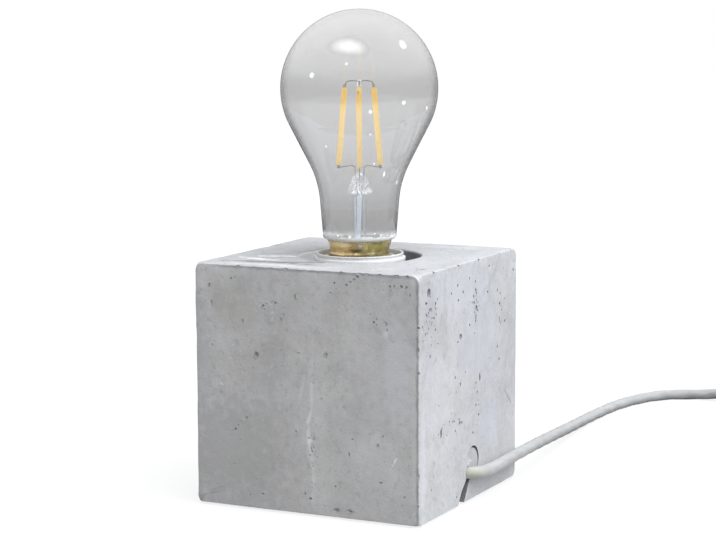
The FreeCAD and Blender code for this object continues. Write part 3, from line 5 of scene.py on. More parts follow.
import bmesh
import bpy
from bpy.props import FloatProperty, FloatVectorProperty, IntProperty, PointerProperty
from mathutils import Matrix, Vector


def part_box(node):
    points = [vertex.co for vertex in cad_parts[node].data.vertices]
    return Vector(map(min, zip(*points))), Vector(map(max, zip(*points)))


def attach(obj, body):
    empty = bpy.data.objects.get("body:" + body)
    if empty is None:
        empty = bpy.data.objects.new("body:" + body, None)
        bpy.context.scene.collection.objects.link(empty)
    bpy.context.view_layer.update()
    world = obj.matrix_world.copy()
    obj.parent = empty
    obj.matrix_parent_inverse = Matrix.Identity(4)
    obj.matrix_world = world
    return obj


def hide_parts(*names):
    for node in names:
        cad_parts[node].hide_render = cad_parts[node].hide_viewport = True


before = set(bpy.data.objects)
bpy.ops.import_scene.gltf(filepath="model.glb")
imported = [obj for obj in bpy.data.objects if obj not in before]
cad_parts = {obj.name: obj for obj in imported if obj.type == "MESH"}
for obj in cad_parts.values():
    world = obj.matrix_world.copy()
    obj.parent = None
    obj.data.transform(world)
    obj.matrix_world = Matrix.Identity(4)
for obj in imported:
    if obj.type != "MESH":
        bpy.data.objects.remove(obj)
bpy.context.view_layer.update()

bl_info = {
    "name": "Concrete Table Lamp",
    "version": (1, 0, 0),
    "blender": (4, 5, 0),
    "location": "View3D > Sidebar > Lamp",
    "description": "Builds a concrete cube lamp with bulb, cord, switch and plug on its frame",
    "category": "Add Mesh",
}

BLOCK_LOW, BLOCK_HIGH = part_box("concrete_block")
GLASS_LOW, GLASS_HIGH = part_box("bulb_glass")
CAP_LOW, CAP_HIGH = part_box("bulb_screw_cap")
SKIRT_LOW, SKIRT_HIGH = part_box("holder_skirt")

# In metres: a millimetre, and how near two points have to be to become one
MM = 0.001
WELD = 1e-6

# In millimetres: where the glass ends inside the cap, one turn of the bulb's thread, the middle of
# the cord where it leaves the block, and the mortar patch's hole with its middle across and up
COLLAR_LOW = CAP_HIGH.z / MM - 5.8
THREAD_PITCH = 3.629
CORD_OUTLET = (50, -1, 12.5)
PATCH_RADIUS = 6.3
PATCH_ACROSS, PATCH_UP = 2.5, 16

# Where the light comes from, and how far the bulb's inside is turned about the upright axis
KEY_WAY = (0.532, -0.075, 0.843)
INSIDE_TURN = 26.2


# Sizes and colours that a user would change


class LampSizes(bpy.types.PropertyGroup):
    cube_edge: FloatProperty(
        name="Cube edge radius",
        description="Rounding of the cast cube's edges",
        default=0.0012,
        min=0.0005,
        max=0.006,
        unit="LENGTH",
    )
    cube_grid: FloatProperty(
        name="Cube grid",
        description="Spacing of the cuts that let the cast surface wander",
        default=0.003,
        min=0.002,
        max=0.01,
        unit="LENGTH",
    )
    cube_wander: FloatProperty(
        name="Cube unevenness",
        description="How far the cast faces stand off a true plane",
        default=0.0006,
        max=0.002,
        unit="LENGTH",
    )
    recess_radius: FloatProperty(
        name="Recess radius",
        description="Radius of the round recess that holds the lampholder",
        default=0.0255,
        unit="LENGTH",
    )
    small_holes: IntProperty(
        name="Small air holes",
        description="Number of small air holes scattered over each upright face",
        default=26,
        min=0,
        max=80,
    )
    glass_wall: FloatProperty(
        name="Glass wall",
        description="Thickness of the blown envelope",
        default=0.0007,
        unit="LENGTH",
    )
    cord_width: FloatProperty(
        name="Cord width",
        description="Widest measure across the cord",
        default=0.0052,
        unit="LENGTH",
    )
    cord_flat: FloatProperty(
        name="Cord flatness",
        description="Difference between the widest and the narrowest measure across the cord",
        default=0.0004,
        unit="LENGTH",
    )
    cord_lay: FloatProperty(
        name="Cord lay",
        description="Length in which the two cores twist once round each other",
        default=0.028,
        unit="LENGTH",
    )


class LampColours(bpy.types.PropertyGroup):
    concrete: FloatVectorProperty(
        name="Concrete",
        description="Middle tone of the cast concrete",
        default=(0.556, 0.556, 0.558),
        subtype="COLOR",
        min=0,
        max=1,
    )
    mortar: FloatVectorProperty(
        name="Mortar",
        description="Patch of mortar round the cord's hole",
        default=(0.52, 0.525, 0.54),
        subtype="COLOR",
        min=0,
        max=1,
    )
    holder: FloatVectorProperty(
        name="Lampholder",
        description="White moulding of the lampholder",
        default=(0.82, 0.82, 0.82),
        subtype="COLOR",
        min=0,
        max=1,
    )
    glass: FloatVectorProperty(
        name="Smoke glass",
        description="Tint of one wall of the bulb, seen straight through",
        default=(0.80, 0.80, 0.805),
        subtype="COLOR",
        min=0,
        max=1,
    )
    brass: FloatVectorProperty(
        name="Cap metal",
        description="Threaded cap of the bulb",
        default=(0.88, 0.68, 0.36),
        subtype="COLOR",
        min=0,
        max=1,
    )
    phosphor: FloatVectorProperty(
        name="Filament coating",
        description="Yellow coating of the filament sticks",
        default=(0.98, 0.66, 0.20),
        subtype="COLOR",
        min=0,
        max=1,
    )
    cord: FloatVectorProperty(
        name="Cord",
        description="Sheath of the cord",
        default=(0.41, 0.41, 0.403),
        subtype="COLOR",
        min=0,
        max=1,
    )
    switch: FloatVectorProperty(
        name="Switch and plug",
        description="Moulded switch and plug on the cord",
        default=(0.60, 0.605, 0.60),
        subtype="COLOR",
        min=0,
        max=1,
    )


class StageLight(bpy.types.PropertyGroup):
    key: FloatProperty(
        name="Key light",
        description="Strength of the wide soft lamp at the upper right",
        default=2.0,
        min=0,
    )
    dome: FloatProperty(
        name="Light dome",
        description="Strength of the bright side of the room, above and to the right",
        default=1.72,
        min=0,
    )
    sky: FloatProperty(
        name="Room light",
        description="Even light that reaches the lamp from all round",
        default=0.05,
        min=0,
    )


# Modelling steps shared by the pieces


def mm(*numbers):
    return Vector(number * MM for number in numbers)


def settle():
    """Leaves edit mode with nothing selected, so that the next piece starts clean."""
    if bpy.context.object is not None and bpy.context.object.mode != "OBJECT":
        bpy.ops.object.mode_set(mode="OBJECT")
    bpy.ops.object.select_all(action="DESELECT")


def pick(*pieces):
    """Selects these objects and no others, with the first one active."""
    settle()
    for piece in pieces:
        piece.select_set(True)
    bpy.context.view_layer.objects.active = pieces[0]


def edit(piece):
    """Takes one object into edit mode with everything on it selected."""
    pick(piece)
    bpy.ops.object.mode_set(mode="EDIT")
    bpy.ops.mesh.select_all(action="SELECT")


def slice_faces(point, normal):
    """Cuts all faces of the mesh in edit mode along a plane."""
    bpy.ops.mesh.select_all(action="SELECT")
    bpy.ops.mesh.bisect(plane_co=point, plane_no=normal)


def apply_modifier(piece, kind, **settings):
    pick(piece)
    modifier = piece.modifiers.new(kind.lower(), kind)
    for name, value in settings.items():
        setattr(modifier, name, value)
    bpy.ops.object.modifier_apply(modifier=modifier.name)


def drawn_line(points):
    """Starts a new object as one chain of points, each extruded from the one before."""
    settle()
    bpy.ops.mesh.primitive_plane_add(size=MM)
    piece = bpy.context.object
    edit(piece)
    bpy.ops.mesh.merge(type="CENTER")
    bpy.ops.transform.translate(value=points[0])
    for before, after in zip(points, points[1:]):
        bpy.ops.mesh.extrude_vertices_move(TRANSFORM_OT_translate={"value": after - before})
    return piece


def mend(piece):
    """Merges doubled points and turns every face outward."""
    edit(piece)
    bpy.ops.mesh.remove_doubles(threshold=WELD)
    bpy.ops.mesh.normals_make_consistent(inside=False)
    settle()


def trim_slivers(piece):
    """Drops what cutting leaves over: thin faces in pairs, loose flaps and closed bubbles."""
    edit(piece)
    bpy.ops.mesh.remove_doubles(threshold=WELD)
    bpy.ops.mesh.quads_convert_to_tris()
    settle()
    shape = bmesh.new()
    shape.from_mesh(piece.data)
    by_corners = {}
    for face in shape.faces:
        by_corners.setdefault(frozenset(face.verts), []).append(face)
    folded = [face for faces in by_corners.values() if len(faces) > 1 for face in faces]
    bmesh.ops.delete(shape, geom=folded, context="FACES")
    flaps = [face for face in shape.faces if sum(edge.is_boundary for edge in face.edges) > 1]
    bmesh.ops.delete(shape, geom=flaps, context="FACES")
    unseen = set(shape.faces)
    skins = []
    while unseen:
        skin = [unseen.pop()]
        for face in skin:
            beside = {other for edge in face.edges for other in edge.link_faces} & unseen
            unseen -= beside
            skin.extend(beside)
        skins.append(skin)
    skins.sort(key=len)
    loose = [face for skin in skins[:-1] for face in skin]
    bmesh.ops.delete(shape, geom=loose, context="FACES")
    shape.to_mesh(piece.data)
    shape.free()


def raised(height, *line):
    """A line of (radius, height) points, lifted by a height."""
    return [(radius, height + up) for radius, up in line]


def turned(line, sides):
    """Turns a closed line of (radius, height) points, in millimetres, about the upright axis."""
    piece = drawn_line([mm(radius, 0, height) for radius, height in [*line, line[0]]])
    apply_modifier(
        piece,
        "SCREW",
        angle=math.tau,
        steps=sides,
        render_steps=sides,
        use_merge_vertices=True,
        merge_threshold=WELD,
    )
    mend(piece)
    return piece


def post(radius, low, high, sides):
    """A plain round post on the upright axis, in millimetres."""
    return turned([(0, low), (radius, low), (radius, high), (0, high)], sides)


def laid_along(run):
    """The turn that lays an upright shape along a run."""
    return run.to_track_quat("Z", "Y").to_matrix().to_4x4()


def prism(corners, depth):
    """Fills a closed outline of points and extrudes it by one step."""
    piece = drawn_line(corners)
    bpy.ops.mesh.select_all(action="SELECT")
    bpy.ops.mesh.edge_face_add()
    bpy.ops.mesh.extrude_region_move(TRANSFORM_OT_translate={"value": depth})
    mend(piece)
    return piece


def slab(low, high):
    """A cube primitive stretched between two corners, for shaping further."""
    settle()
    bpy.ops.mesh.primitive_cube_add(size=1)
    piece = bpy.context.object
    edit(piece)
    bpy.ops.transform.resize(value=high - low)
    bpy.ops.transform.translate(value=(low + high) / 2)
    settle()
    return piece


def put(piece, matrix):
    """Moves a shape into place and applies the move to its mesh."""
    pick(piece)
    piece.matrix_world = matrix
    bpy.ops.object.transform_apply(location=True, rotation=True, scale=True)
    return piece


def joined(*shapes):
    pick(*shapes)
    bpy.ops.object.join()
    return shapes[0]


def copied(model):
    """A second object with a mesh of its own."""
    copy = model.copy()
    copy.data = model.data.copy()
    bpy.context.collection.objects.link(copy)
    return copy


def cut(piece, *cutters, crossing=False):
    """Takes each cutter out of the piece and then throws the cutter away."""
    for cutter in cutters:
        apply_modifier(
            piece,
            "BOOLEAN",
            object=cutter,
            operation="DIFFERENCE",
            solver="EXACT",
            use_self=crossing,
            material_mode="TRANSFER",
        )
        bpy.data.objects.remove(cutter)


def uneven(piece, depth, size, detail=2):
    """Pushes the surface in and out by a cloud pattern."""
    pattern = bpy.data.textures.new("unevenness", "CLOUDS")
    pattern.noise_scale = size
    pattern.noise_depth = detail
    apply_modifier(
        piece, "DISPLACE", texture=pattern, strength=depth, mid_level=0.5, texture_coords="LOCAL"
    )


def ready(piece, name, finish, body, stands_for, smooth=30):
    """Names a finished shape, gives it its finish, smooths it, hangs it on its body and hides the
    parts it stands for.
    """
    pick(piece)
    piece.name = name
    piece.data.name = name
    if piece.data.materials:
        piece.data.materials[0] = finish
    else:
        piece.data.materials.append(finish)
    bpy.ops.object.shade_smooth_by_angle(angle=math.radians(smooth))
    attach(piece, body)
    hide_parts(*stands_for)


# Finishes


def feed(tree, socket, value):
    """Links an output to a socket, or gives the socket a plain value."""
    if isinstance(value, bpy.types.NodeSocket):
        tree.links.new(value, socket)
    else:
        socket.default_value = value


def add_node(tree, kind, links=(), **settings):
    """Adds a node with its settings, and feeds the sockets that are named."""
    node = tree.nodes.new(kind)
    for name, value in settings.items():
        setattr(node, name, value)
    for socket, value in dict(links).items():
        feed(tree, node.inputs[socket], value)
    return node


class Finish:
    """One material, put together from patterns that are fixed to the piece's own coordinates."""

    def __init__(self, name):
        self.material = bpy.data.materials.new(name)
        self.material.use_nodes = True
        self.tree = self.material.node_tree
        self.shader = self.tree.nodes["Principled BSDF"]
        self.place = self.add("ShaderNodeTexCoord").outputs["Object"]

    def add(self, kind, links=(), **settings):
        return add_node(self.tree, kind, links, **settings)

    def set(self, **values):
        """Feeds sockets of the shader, named with an underscore for each space."""
        for name, value in values.items():
            feed(self.tree, self.shader.inputs[name.replace("_", " ")], value)

    def colour(self, value):
        self.set(Base_Color=value)

    def roughness(self, value):
        self.set(Roughness=value)

    def glow(self, colour, strength):
        self.set(Emission_Color=colour, Emission_Strength=strength)

    def relief(self, height, distance, strength):
        links = {"Height": height, "Distance": distance, "Strength": strength}
        self.set(Normal=self.add("ShaderNodeBump", links).outputs["Normal"])

    def calc(self, kind, *values):
        """One step of arithmetic."""
        return self.add("ShaderNodeMath", dict(enumerate(values)), operation=kind).outputs[0]

    def plus(self, first, *others):
        for other in others:
            first = self.calc("ADD", first, other)
        return first

    def times(self, first, *others):
        for other in others:
            first = self.calc("MULTIPLY", first, other)
        return first

    def weighed(self, *parts):
        """The sum of values, each times its weight."""
        return self.plus(*(self.times(value, weight) for value, weight in parts))

    def length(self, vector):
        return self.add("ShaderNodeVectorMath", {0: vector}, operation="LENGTH").outputs["Value"]

    def axis(self, name):
        """Where a point of the piece lies along one axis, in metres."""
        return self.add("ShaderNodeSeparateXYZ", {0: self.place}).outputs[name]

    def span(self, value, low, high, to_low=0.0, to_high=1.0, smooth=False):
        """Carries a value from one range over to another and holds it at both ends."""
        links = {"Value": value, "From Min": low, "From Max": high}
        node = self.add("ShaderNodeMapRange", {**links, "To Min": to_low, "To Max": to_high})
        if smooth:
            node.interpolation_type = "SMOOTHSTEP"
        return node.outputs["Result"]

    def stretched(self, stretch, shift):
        links = {"Vector": self.place, "Scale": stretch, "Location": shift}
        return self.add("ShaderNodeMapping", links).outputs["Vector"]

    def noise(self, scale, detail=3, roughness=0.5, stretch=None, shift=(0, 0, 0), distortion=0):
        place = self.place
        if stretch is not None or any(shift):
            place = self.stretched(stretch or (1, 1, 1), shift)
        links = {"Vector": place, "Scale": scale, "Detail": detail, "Roughness": roughness}
        return self.add("ShaderNodeTexNoise", {**links, "Distortion": distortion}).outputs["Fac"]

    def dots(self, scale, size):
        """Scattered round dots: 1 inside a dot and 0 outside."""
        cell = self.add("ShaderNodeTexVoronoi", {"Vector": self.place, "Scale": scale})
        return self.span(cell.outputs["Distance"], size, size * 0.55)

    def blotch(self, centre, size, turn=0.0, core=0.3, ragged=0.35):
        """A soft-edged spot at one place, in millimetres: 1 in its middle and 0 outside."""
        turn = turn if isinstance(turn, tuple) else (0, 0, turn)
        links = {
            "Vector": self.place,
            "Location": mm(*centre),
            "Rotation": [math.radians(part) for part in turn],
            "Scale": mm(*size),
        }
        mapping = self.add("ShaderNodeMapping", links, vector_type="TEXTURE")
        wander = self.span(self.noise(260), 0.3, 0.7, -ragged, ragged)
        reach = self.plus(self.length(mapping.outputs["Vector"]), wander)
        return self.span(reach, 1.0, core, smooth=True)

    def mix(self, share, a, b, kind="MIX"):
        node = self.add("ShaderNodeMix", data_type="RGBA", blend_type=kind)
        for socket, value in ((0, share), (6, a), (7, b)):
            if not isinstance(value, (bpy.types.NodeSocket, float, int)):
                value = (*value, 1.0)
            feed(self.tree, node.inputs[socket], value)
        return node.outputs[2]

    def paint(self, surface, tint, mark, strength):
        """Lays a tint over a surface where a mark is."""
        return self.mix(self.times(mark, strength), surface, tint)

    def ramp(self, value, stops):
        """A tone that changes along a value, through the given stops."""
        node = self.add("ShaderNodeValToRGB", {"Fac": value})
        points = node.color_ramp.elements
        points[0].position, points[0].color = stops[0][0], (*stops[0][1], 1)
        points[1].position, points[1].color = stops[-1][0], (*stops[-1][1], 1)
        for place, tone in stops[1:-1]:
            points.new(place).color = (*tone, 1)
        return node.outputs["Color"]


def shade(colour, share):
    return tuple(part * share for part in colour)


def moulded(name, colour, roughness=0.35, grain=700, depth=0.00002, **extra):
    """Moulded plastic: a nearly even tone with a faint texture and slight changes of gloss."""
    finish = Finish(name)
    tone = finish.noise(60, 3)
    fine = finish.noise(grain, 2)
    finish.colour(finish.mix(finish.span(tone, 0.3, 0.7), shade(colour, 0.95), colour))
    finish.roughness(finish.span(tone, 0.3, 0.7, roughness * 0.85, roughness * 1.2))
    finish.relief(fine, depth, 0.5)
    finish.set(**extra)
    return finish.material


def metal(name, colour, roughness=0.25, stretch=(1, 1, 1)):
    """Bare or plated metal with dull patches and fine working marks."""
    finish = Finish(name)
    patch = finish.noise(120, 4, 0.6)
    marks = finish.noise(400, 2, stretch=stretch)
    finish.colour(finish.mix(finish.span(patch, 0.35, 0.7), shade(colour, 0.7), colour))
    finish.roughness(finish.span(marks, 0.3, 0.7, roughness * 0.7, roughness * 1.5))
    finish.relief(marks, 0.00002, 0.4)
    finish.set(Metallic=1.0)
    return finish.material


def recess_walls(finish, surface):
    """The wall of the recess: painted light on the left, where light comes in, and painted shade
    on the right.
    """
    links = {0: finish.place, 1: (1, 1, 0)}
    flat = finish.add("ShaderNodeVectorMath", links, operation="MULTIPLY").outputs[0]
    edge, top = bpy.context.scene.lamp_sizes.recess_radius, BLOCK_HIGH.z
    wall = finish.times(
        finish.span(finish.length(flat), edge + 0.6 * MM, edge + 0.2 * MM),
        finish.span(finish.axis("Z"), top - 0.1 * MM, top - 0.5 * MM),
    )
    across = finish.axis("X")
    left = finish.times(wall, finish.span(across, 0.006, -0.006, smooth=True))
    right = finish.times(wall, finish.span(across, -0.002, 0.012, smooth=True))
    # Painted light on the left of the wall and painted shade on the right, in place of the real
    # light inside the recess.
    surface = finish.paint(surface, (0.97, 0.97, 0.97), left, 0.92)
    return finish.paint(surface, (0.13, 0.13, 0.135), right, 0.8)


def front_contour(finish, surface):
    """A thin dark line of painted shade inside the front face's rounded outline, a front face
    painted a little warmer for the light that falls on it, and painted light on the corners
    beyond.
    """
    half, top, corner = BLOCK_HIGH.x / MM, BLOCK_HIGH.z / MM, 3.0
    reach = []
    for name, middle, extent in (("X", 0, half), ("Z", top / 2, top / 2)):
        away = finish.calc("SUBTRACT", finish.axis(name), middle * MM)
        away = finish.calc("SUBTRACT", finish.calc("ABSOLUTE", away), (extent - corner) * MM)
        reach.append(finish.calc("MAXIMUM", away, 0.0))
    squares = finish.plus(*(finish.times(part, part) for part in reach))
    beyond = finish.calc("SUBTRACT", finish.calc("POWER", squares, 0.5), corner * MM)
    ragged = finish.span(finish.noise(420, 3), 0.3, 0.7, -0.25 * MM, 0.25 * MM)
    beyond = finish.plus(beyond, ragged)
    on_front = finish.span(finish.axis("Y"), (0.9 - half) * MM, (0.3 - half) * MM)
    # Painted shade: a thin dark line just inside the rounded outline.
    line = finish.times(
        finish.span(beyond, -1.5 * MM, -0.65 * MM),
        finish.span(beyond, 0.05 * MM, -0.3 * MM),
        on_front,
        finish.span(finish.axis("X"), -0.046, -0.030, 0.2, 1.0),
        finish.span(finish.noise(230, 3), 0.35, 0.6, 0.4, 0.8),
    )
    # The front face painted a little warmer, for the less blue light that falls on it.
    surface = finish.mix(on_front, surface, (1.0, 0.982, 0.958), "MULTIPLY")
    surface = finish.mix(line, surface, (0.25, 0.25, 0.255))
    # Painted light on the rounded corners beyond the outline, lighter where they turn towards the
    # light.
    both = finish.span(finish.calc("MINIMUM", *reach), 0.2 * MM, 0.8 * MM)
    lit_corners = finish.times(finish.span(beyond, -0.1 * MM, 0.2 * MM), finish.times(both, on_front))
    return finish.paint(surface, (0.86, 0.86, 0.87), lit_corners, 0.8)


def concrete_finish(name, colour, stains_and_painted_light=True):
    """Cast concrete with its clouds, streaks, specks and pepper, and the marks of this cube,
    painted light and shade among them.
    """
    finish = Finish(name)
    cloud = finish.noise(17, 4, 0.55)
    mottle = finish.noise(105, 6, 0.68)
    streak = finish.noise(75, 4, 0.6, stretch=(1, 1, 0.14))
    speck = finish.noise(430, 4, 0.72, distortion=0.6)
    grit = finish.noise(1500, 2)
    warm = finish.noise(24, 3, shift=(0.3, 0.1, 0.2))
    cold = finish.noise(31, 3, shift=(0.1, 0.5, 0.3))
    thick = finish.span(finish.noise(60, 2, shift=(0.4, 0, 0)), 0.48, 0.6)
    pepper = finish.times(finish.dots(420, 0.16), thick)
    tone = finish.weighed((cloud, 0.42), (streak, 0.24), (mottle, 0.34))
    surface = shade(colour, 0.83)
    for share, tint in (
        (finish.span(tone, 0.40, 0.60), shade(colour, 1.13)),
        (finish.span(warm, 0.45, 0.75, 0.0, 0.22), (0.53, 0.52, 0.48)),
        (finish.span(cold, 0.48, 0.72, 0.0, 0.3), (0.56, 0.57, 0.615)),
        (finish.span(speck, 0.56, 0.74, 0.0, 0.55), shade(colour, 1.28)),
        (finish.span(speck, 0.45, 0.27, 0.0, 0.75), shade(colour, 0.62)),
        (finish.times(pepper, 0.55), shade(colour, 0.5)),
        (finish.span(grit, 0.3, 0.75, 0.0, 0.2), shade(colour, 0.7)),
    ):
        surface = finish.mix(share, surface, tint)
    # The listed marks, then the painted light and shade of the recess wall and of the front face's
    # outline.
    if stains_and_painted_light:
        for centre, size, turn, tint, strength in STAINS_AND_PAINTED_LIGHT:
            surface = finish.paint(surface, tint, finish.blotch(centre, size, turn), strength)
        surface = recess_walls(finish, surface)
        surface = front_contour(finish, surface)
    finish.colour(surface)
    finish.roughness(finish.span(mottle, 0.3, 0.7, 0.78, 0.95))
    height = finish.weighed((mottle, 0.6), (grit, 0.16), (speck, 0.22), (pepper, -0.25))
    finish.relief(height, 0.0007, 0.7)
    finish.set(IOR=1.45, Specular_IOR_Level=0.3)
    return finish.material


# Marks on the concrete, painted light and shade among them, each a middle and half sizes in
# millimetres, a turn, a tint and a strength
STAINS_AND_PAINTED_LIGHT = [
    # Painted shadow and light of the bulb on the top face, left of the holder: dark greenish
    # smears for its shadow and pale strokes for light through its glass.
    ((-24, -36, 100), (25, 3.4, 4), 4, (0.27, 0.27, 0.235), 0.95),
    ((-9, -30, 100), (13, 2.4, 4), 24, (0.25, 0.26, 0.215), 0.9),
    ((-33, -27, 100), (14, 2.8, 4), -14, (0.95, 0.95, 0.95), 0.95),
    ((-27, -16, 100), (15, 2.6, 4), 20, (0.95, 0.95, 0.96), 0.9),
    ((-34, -8, 100), (13, 1.8, 4), 30, (0.42, 0.42, 0.41), 0.6),
    ((-40, -38, 100), (9, 2.0, 4), 10, (0.40, 0.405, 0.37), 0.7),
    ((-20, -42, 100), (22, 1.6, 4), 2, (0.74, 0.75, 0.74), 0.6),
    ((24, 40, 100), (20, 6, 4), 4, (0.66, 0.665, 0.68), 0.35),
    # Painted shade in two air holes on the top.
    ((42.9, -31.8, 100), (2.6, 1.2, 4), 20, (0.25, 0.25, 0.26), 0.7),
    ((5.2, -34.7, 100), (0.9, 0.7, 3), 0, (0.25, 0.25, 0.26), 0.8),
    ((-30, -50, 82), (14, 4, 12), 0, (0.45, 0.445, 0.41), 0.45),
    ((-27, -50, 18), (13, 4, 9), 0, (0.44, 0.44, 0.42), 0.4),
    ((20, -50, 42), (14, 4, 10), 0, (0.46, 0.47, 0.485), 0.35),
    ((41, -50, 60), (7, 4, 30), 0, (0.62, 0.635, 0.665), 0.5),
    ((2.6, -50, 61), (1.6, 4, 6), (0, 8, 0), (0.68, 0.69, 0.70), 0.35),
    ((2.9, -50, 50), (1.1, 4, 9), (0, -1, 0), (0.74, 0.75, 0.76), 0.5),
    ((1.9, -50, 40.5), (1.0, 4, 5), (0, 16, 0), (0.80, 0.81, 0.82), 0.6),
    ((1.5, -50, 33), (1.3, 4, 6), (0, -4, 0), (0.78, 0.79, 0.80), 0.6),
    ((2.4, -50, 25), (2.0, 4, 5), (0, -12, 0), (0.76, 0.77, 0.78), 0.5),
    ((3.6, -50, 17), (1.5, 4, 6), (0, -3, 0), (0.74, 0.75, 0.76), 0.45),
    ((3.6, -50, 8.5), (1.2, 4, 5), (0, 2, 0), (0.70, 0.71, 0.72), 0.4),
    ((-1.5, -50, 52), (0.8, 4, 7), (0, 14, 0), (0.68, 0.69, 0.70), 0.35),
    ((-38, -50, 88), (12, 4, 10), 0, (0.42, 0.42, 0.40), 0.4),
    ((-46, -50, 50), (4, 4, 40), 0, (0.47, 0.475, 0.48), 0.4),
    ((-34, -50, 22), (34, 4, 34), 0, (0.43, 0.43, 0.43), 0.75),
    ((36, -50, 66), (24, 4, 36), 0, (0.62, 0.62, 0.63), 0.4),
    ((50, -8, 90), (4, 46, 15), 0, (0.64, 0.645, 0.68), 0.45),
    ((-16, -50, 78), (3.2, 4, 2.0), (0, 30, 0), (0.40, 0.40, 0.40), 0.45),
    ((-11, -50, 76), (1.6, 4, 4.5), (0, 8, 0), (0.42, 0.42, 0.42), 0.4),
    ((32, -50, 78), (3.4, 4, 1.3), (0, 35, 0), (0.41, 0.41, 0.41), 0.45),
    ((-32, -50, 34), (3.2, 4, 3.0), 0, (0.45, 0.45, 0.45), 0.4),
    ((-37, -50, 50), (1.0, 4, 8), 0, (0.44, 0.44, 0.44), 0.4),
    # A pale band along the top's front edge: painted light, like the strokes by the bulb.
    ((-14, -44, 100), (30, 3.5, 4), 2, (0.74, 0.74, 0.73), 0.7),
    ((50, 8, 66), (4, 30, 28), 0, (0.57, 0.575, 0.63), 0.4),
    ((50, -30, 52), (4, 14, 22), 0, (0.62, 0.62, 0.635), 0.4),
    ((30, -50, 24), (16, 4, 14), 0, (0.60, 0.605, 0.62), 0.3),
    ((39.2, -50, 25.2), (0.45, 3, 3.0), (0, 28, 0), (0.88, 0.89, 0.90), 0.85),
    # Painted shade in two large air holes on the front.
    ((-22.0, -50, 64), (1.9, 3, 2.1), 0, (0.22, 0.22, 0.22), 0.85),
    ((9.6, -50, 66.3), (1.5, 3, 1.9), 0, (0.30, 0.30, 0.31), 0.65),
    ((-43, -50, 5.2), (6, 3, 0.5), (0, -16, 0), (0.33, 0.33, 0.34), 0.6),
    ((-40, -50, 7.6), (7, 3, 0.4), (0, -20, 0), (0.35, 0.35, 0.36), 0.5),
    ((-10.1, -50, 80), (1.6, 3, 3.2), (0, 12, 0), (0.38, 0.38, 0.39), 0.4),
    # Painted shade in two air holes near the front's foot.
    ((13.8, -50, 3.7), (2.6, 3, 1.8), 0, (0.25, 0.25, 0.26), 0.5),
    ((19.6, -50, 4.0), (2.8, 3, 1.5), 0, (0.28, 0.28, 0.29), 0.45),
    ((50, 40.8, 37.6), (3, 9.5, 0.8), (-44, 0, 0), (0.28, 0.28, 0.30), 0.7),
    ((50, 6, 68), (4, 3.5, 24), 0, (0.48, 0.49, 0.50), 0.35),
    ((50, -41, 82), (4, 6, 13), 0, (0.42, 0.42, 0.44), 0.45),
    ((50, 34, 62), (4, 4, 20), 0, (0.50, 0.50, 0.52), 0.35),
    ((50, 5, 84), (4, 3, 9), 0, (0.44, 0.44, 0.46), 0.4),
    ((50, -25, 36), (4, 9, 4), (20, 0, 0), (0.47, 0.47, 0.49), 0.35),
    ((50, -46, 30), (4, 3, 30), 0, (0.66, 0.67, 0.69), 0.4),
    ((50, 38, 16), (4, 12, 10), 0, (0.50, 0.50, 0.51), 0.35),
    ((50, -38, 84), (4, 8, 14), 0, (0.47, 0.48, 0.49), 0.3),
    ((50, 22, 30), (4, 15, 12), 0, (0.53, 0.545, 0.60), 0.4),
    ((50, 30, 86), (4, 12, 9), 0, (0.60, 0.60, 0.60), 0.35),
]

# Air holes and cracks, listed one by one: across, up, width, height and depth in millimetres
FRONT_HOLES = [
    (-43.5, 91.1, 0.9, 1.9, 1.0), (-33.2, 94.6, 0.8, 0.8, 0.7), (-31.4, 95.1, 0.7, 0.7, 0.6),
    (-42.5, 83.9, 0.7, 2.4, 0.4), (-4.1, 88.7, 0.7, 2.6, 0.7), (-18.6, 84.4, 1.3, 1.0, 0.4),
    (-19.9, 85.4, 0.8, 0.6, 0.4), (-17.2, 85.1, 0.7, 0.6, 0.4), (-18.0, 83.0, 0.9, 0.6, 0.4),
    (-28.2, 77.5, 0.8, 1.4, 0.4), (-10.6, 79.2, 0.8, 1.3, 0.4), (-9.4, 81.2, 0.7, 0.9, 0.3),
    (-22.0, 64.0, 1.9, 2.3, 1.1), (9.6, 66.3, 1.2, 1.6, 0.5), (30.7, 80.9, 1.0, 0.9, 0.8),
    (31.8, 80.0, 0.6, 0.6, 0.5), (23.5, 98.3, 1.4, 1.3, 0.9), (22.0, 97.2, 1.3, 0.8, 0.6),
    (20.4, 96.1, 1.2, 0.7, 0.5), (18.7, 94.9, 1.3, 0.8, 0.6), (37.6, 95.3, 0.9, 1.0, 0.8),
    (42.6, 95.6, 1.0, 1.3, 0.9), (44.8, 95.4, 0.9, 0.9, 0.8), (-32.0, 32.8, 0.9, 0.9, 1.0),
    (-26.7, 37.9, 1.0, 1.0, 1.0), (-33.6, 31.9, 0.6, 0.6, 0.6), (-30.6, 34.4, 0.5, 0.7, 0.5),
    (-29.3, 36.1, 0.6, 0.5, 0.5), (-28.0, 35.0, 0.5, 0.5, 0.4), (-31.6, 36.0, 0.5, 0.4, 0.4),
    (13.5, 13.5, 0.6, 1.0, 0.7), (13.8, 3.7, 2.0, 1.6, 0.8), (19.6, 4.0, 2.3, 1.1, 0.6),
    (33.6, 17.0, 1.3, 0.8, 0.7), (32.2, 31.7, 1.2, 1.4, 0.4), (19.7, 27.1, 0.7, 1.9, 0.5),
    (-0.1, 9.3, 0.9, 1.0, 0.9), (2.2, 7.4, 1.6, 0.7, 1.0), (-19.4, 7.1, 1.0, 0.8, 0.8),
    (-25.4, 6.2, 0.8, 0.6, 0.6), (-40.7, 9.2, 0.9, 0.7, 0.5), (-38.0, 52.0, 0.6, 1.2, 0.4),
    (2.0, 25.0, 0.7, 0.6, 0.4), (1.2, 23.0, 0.6, 0.5, 0.4), (3.0, 22.0, 0.6, 0.7, 0.4),
]
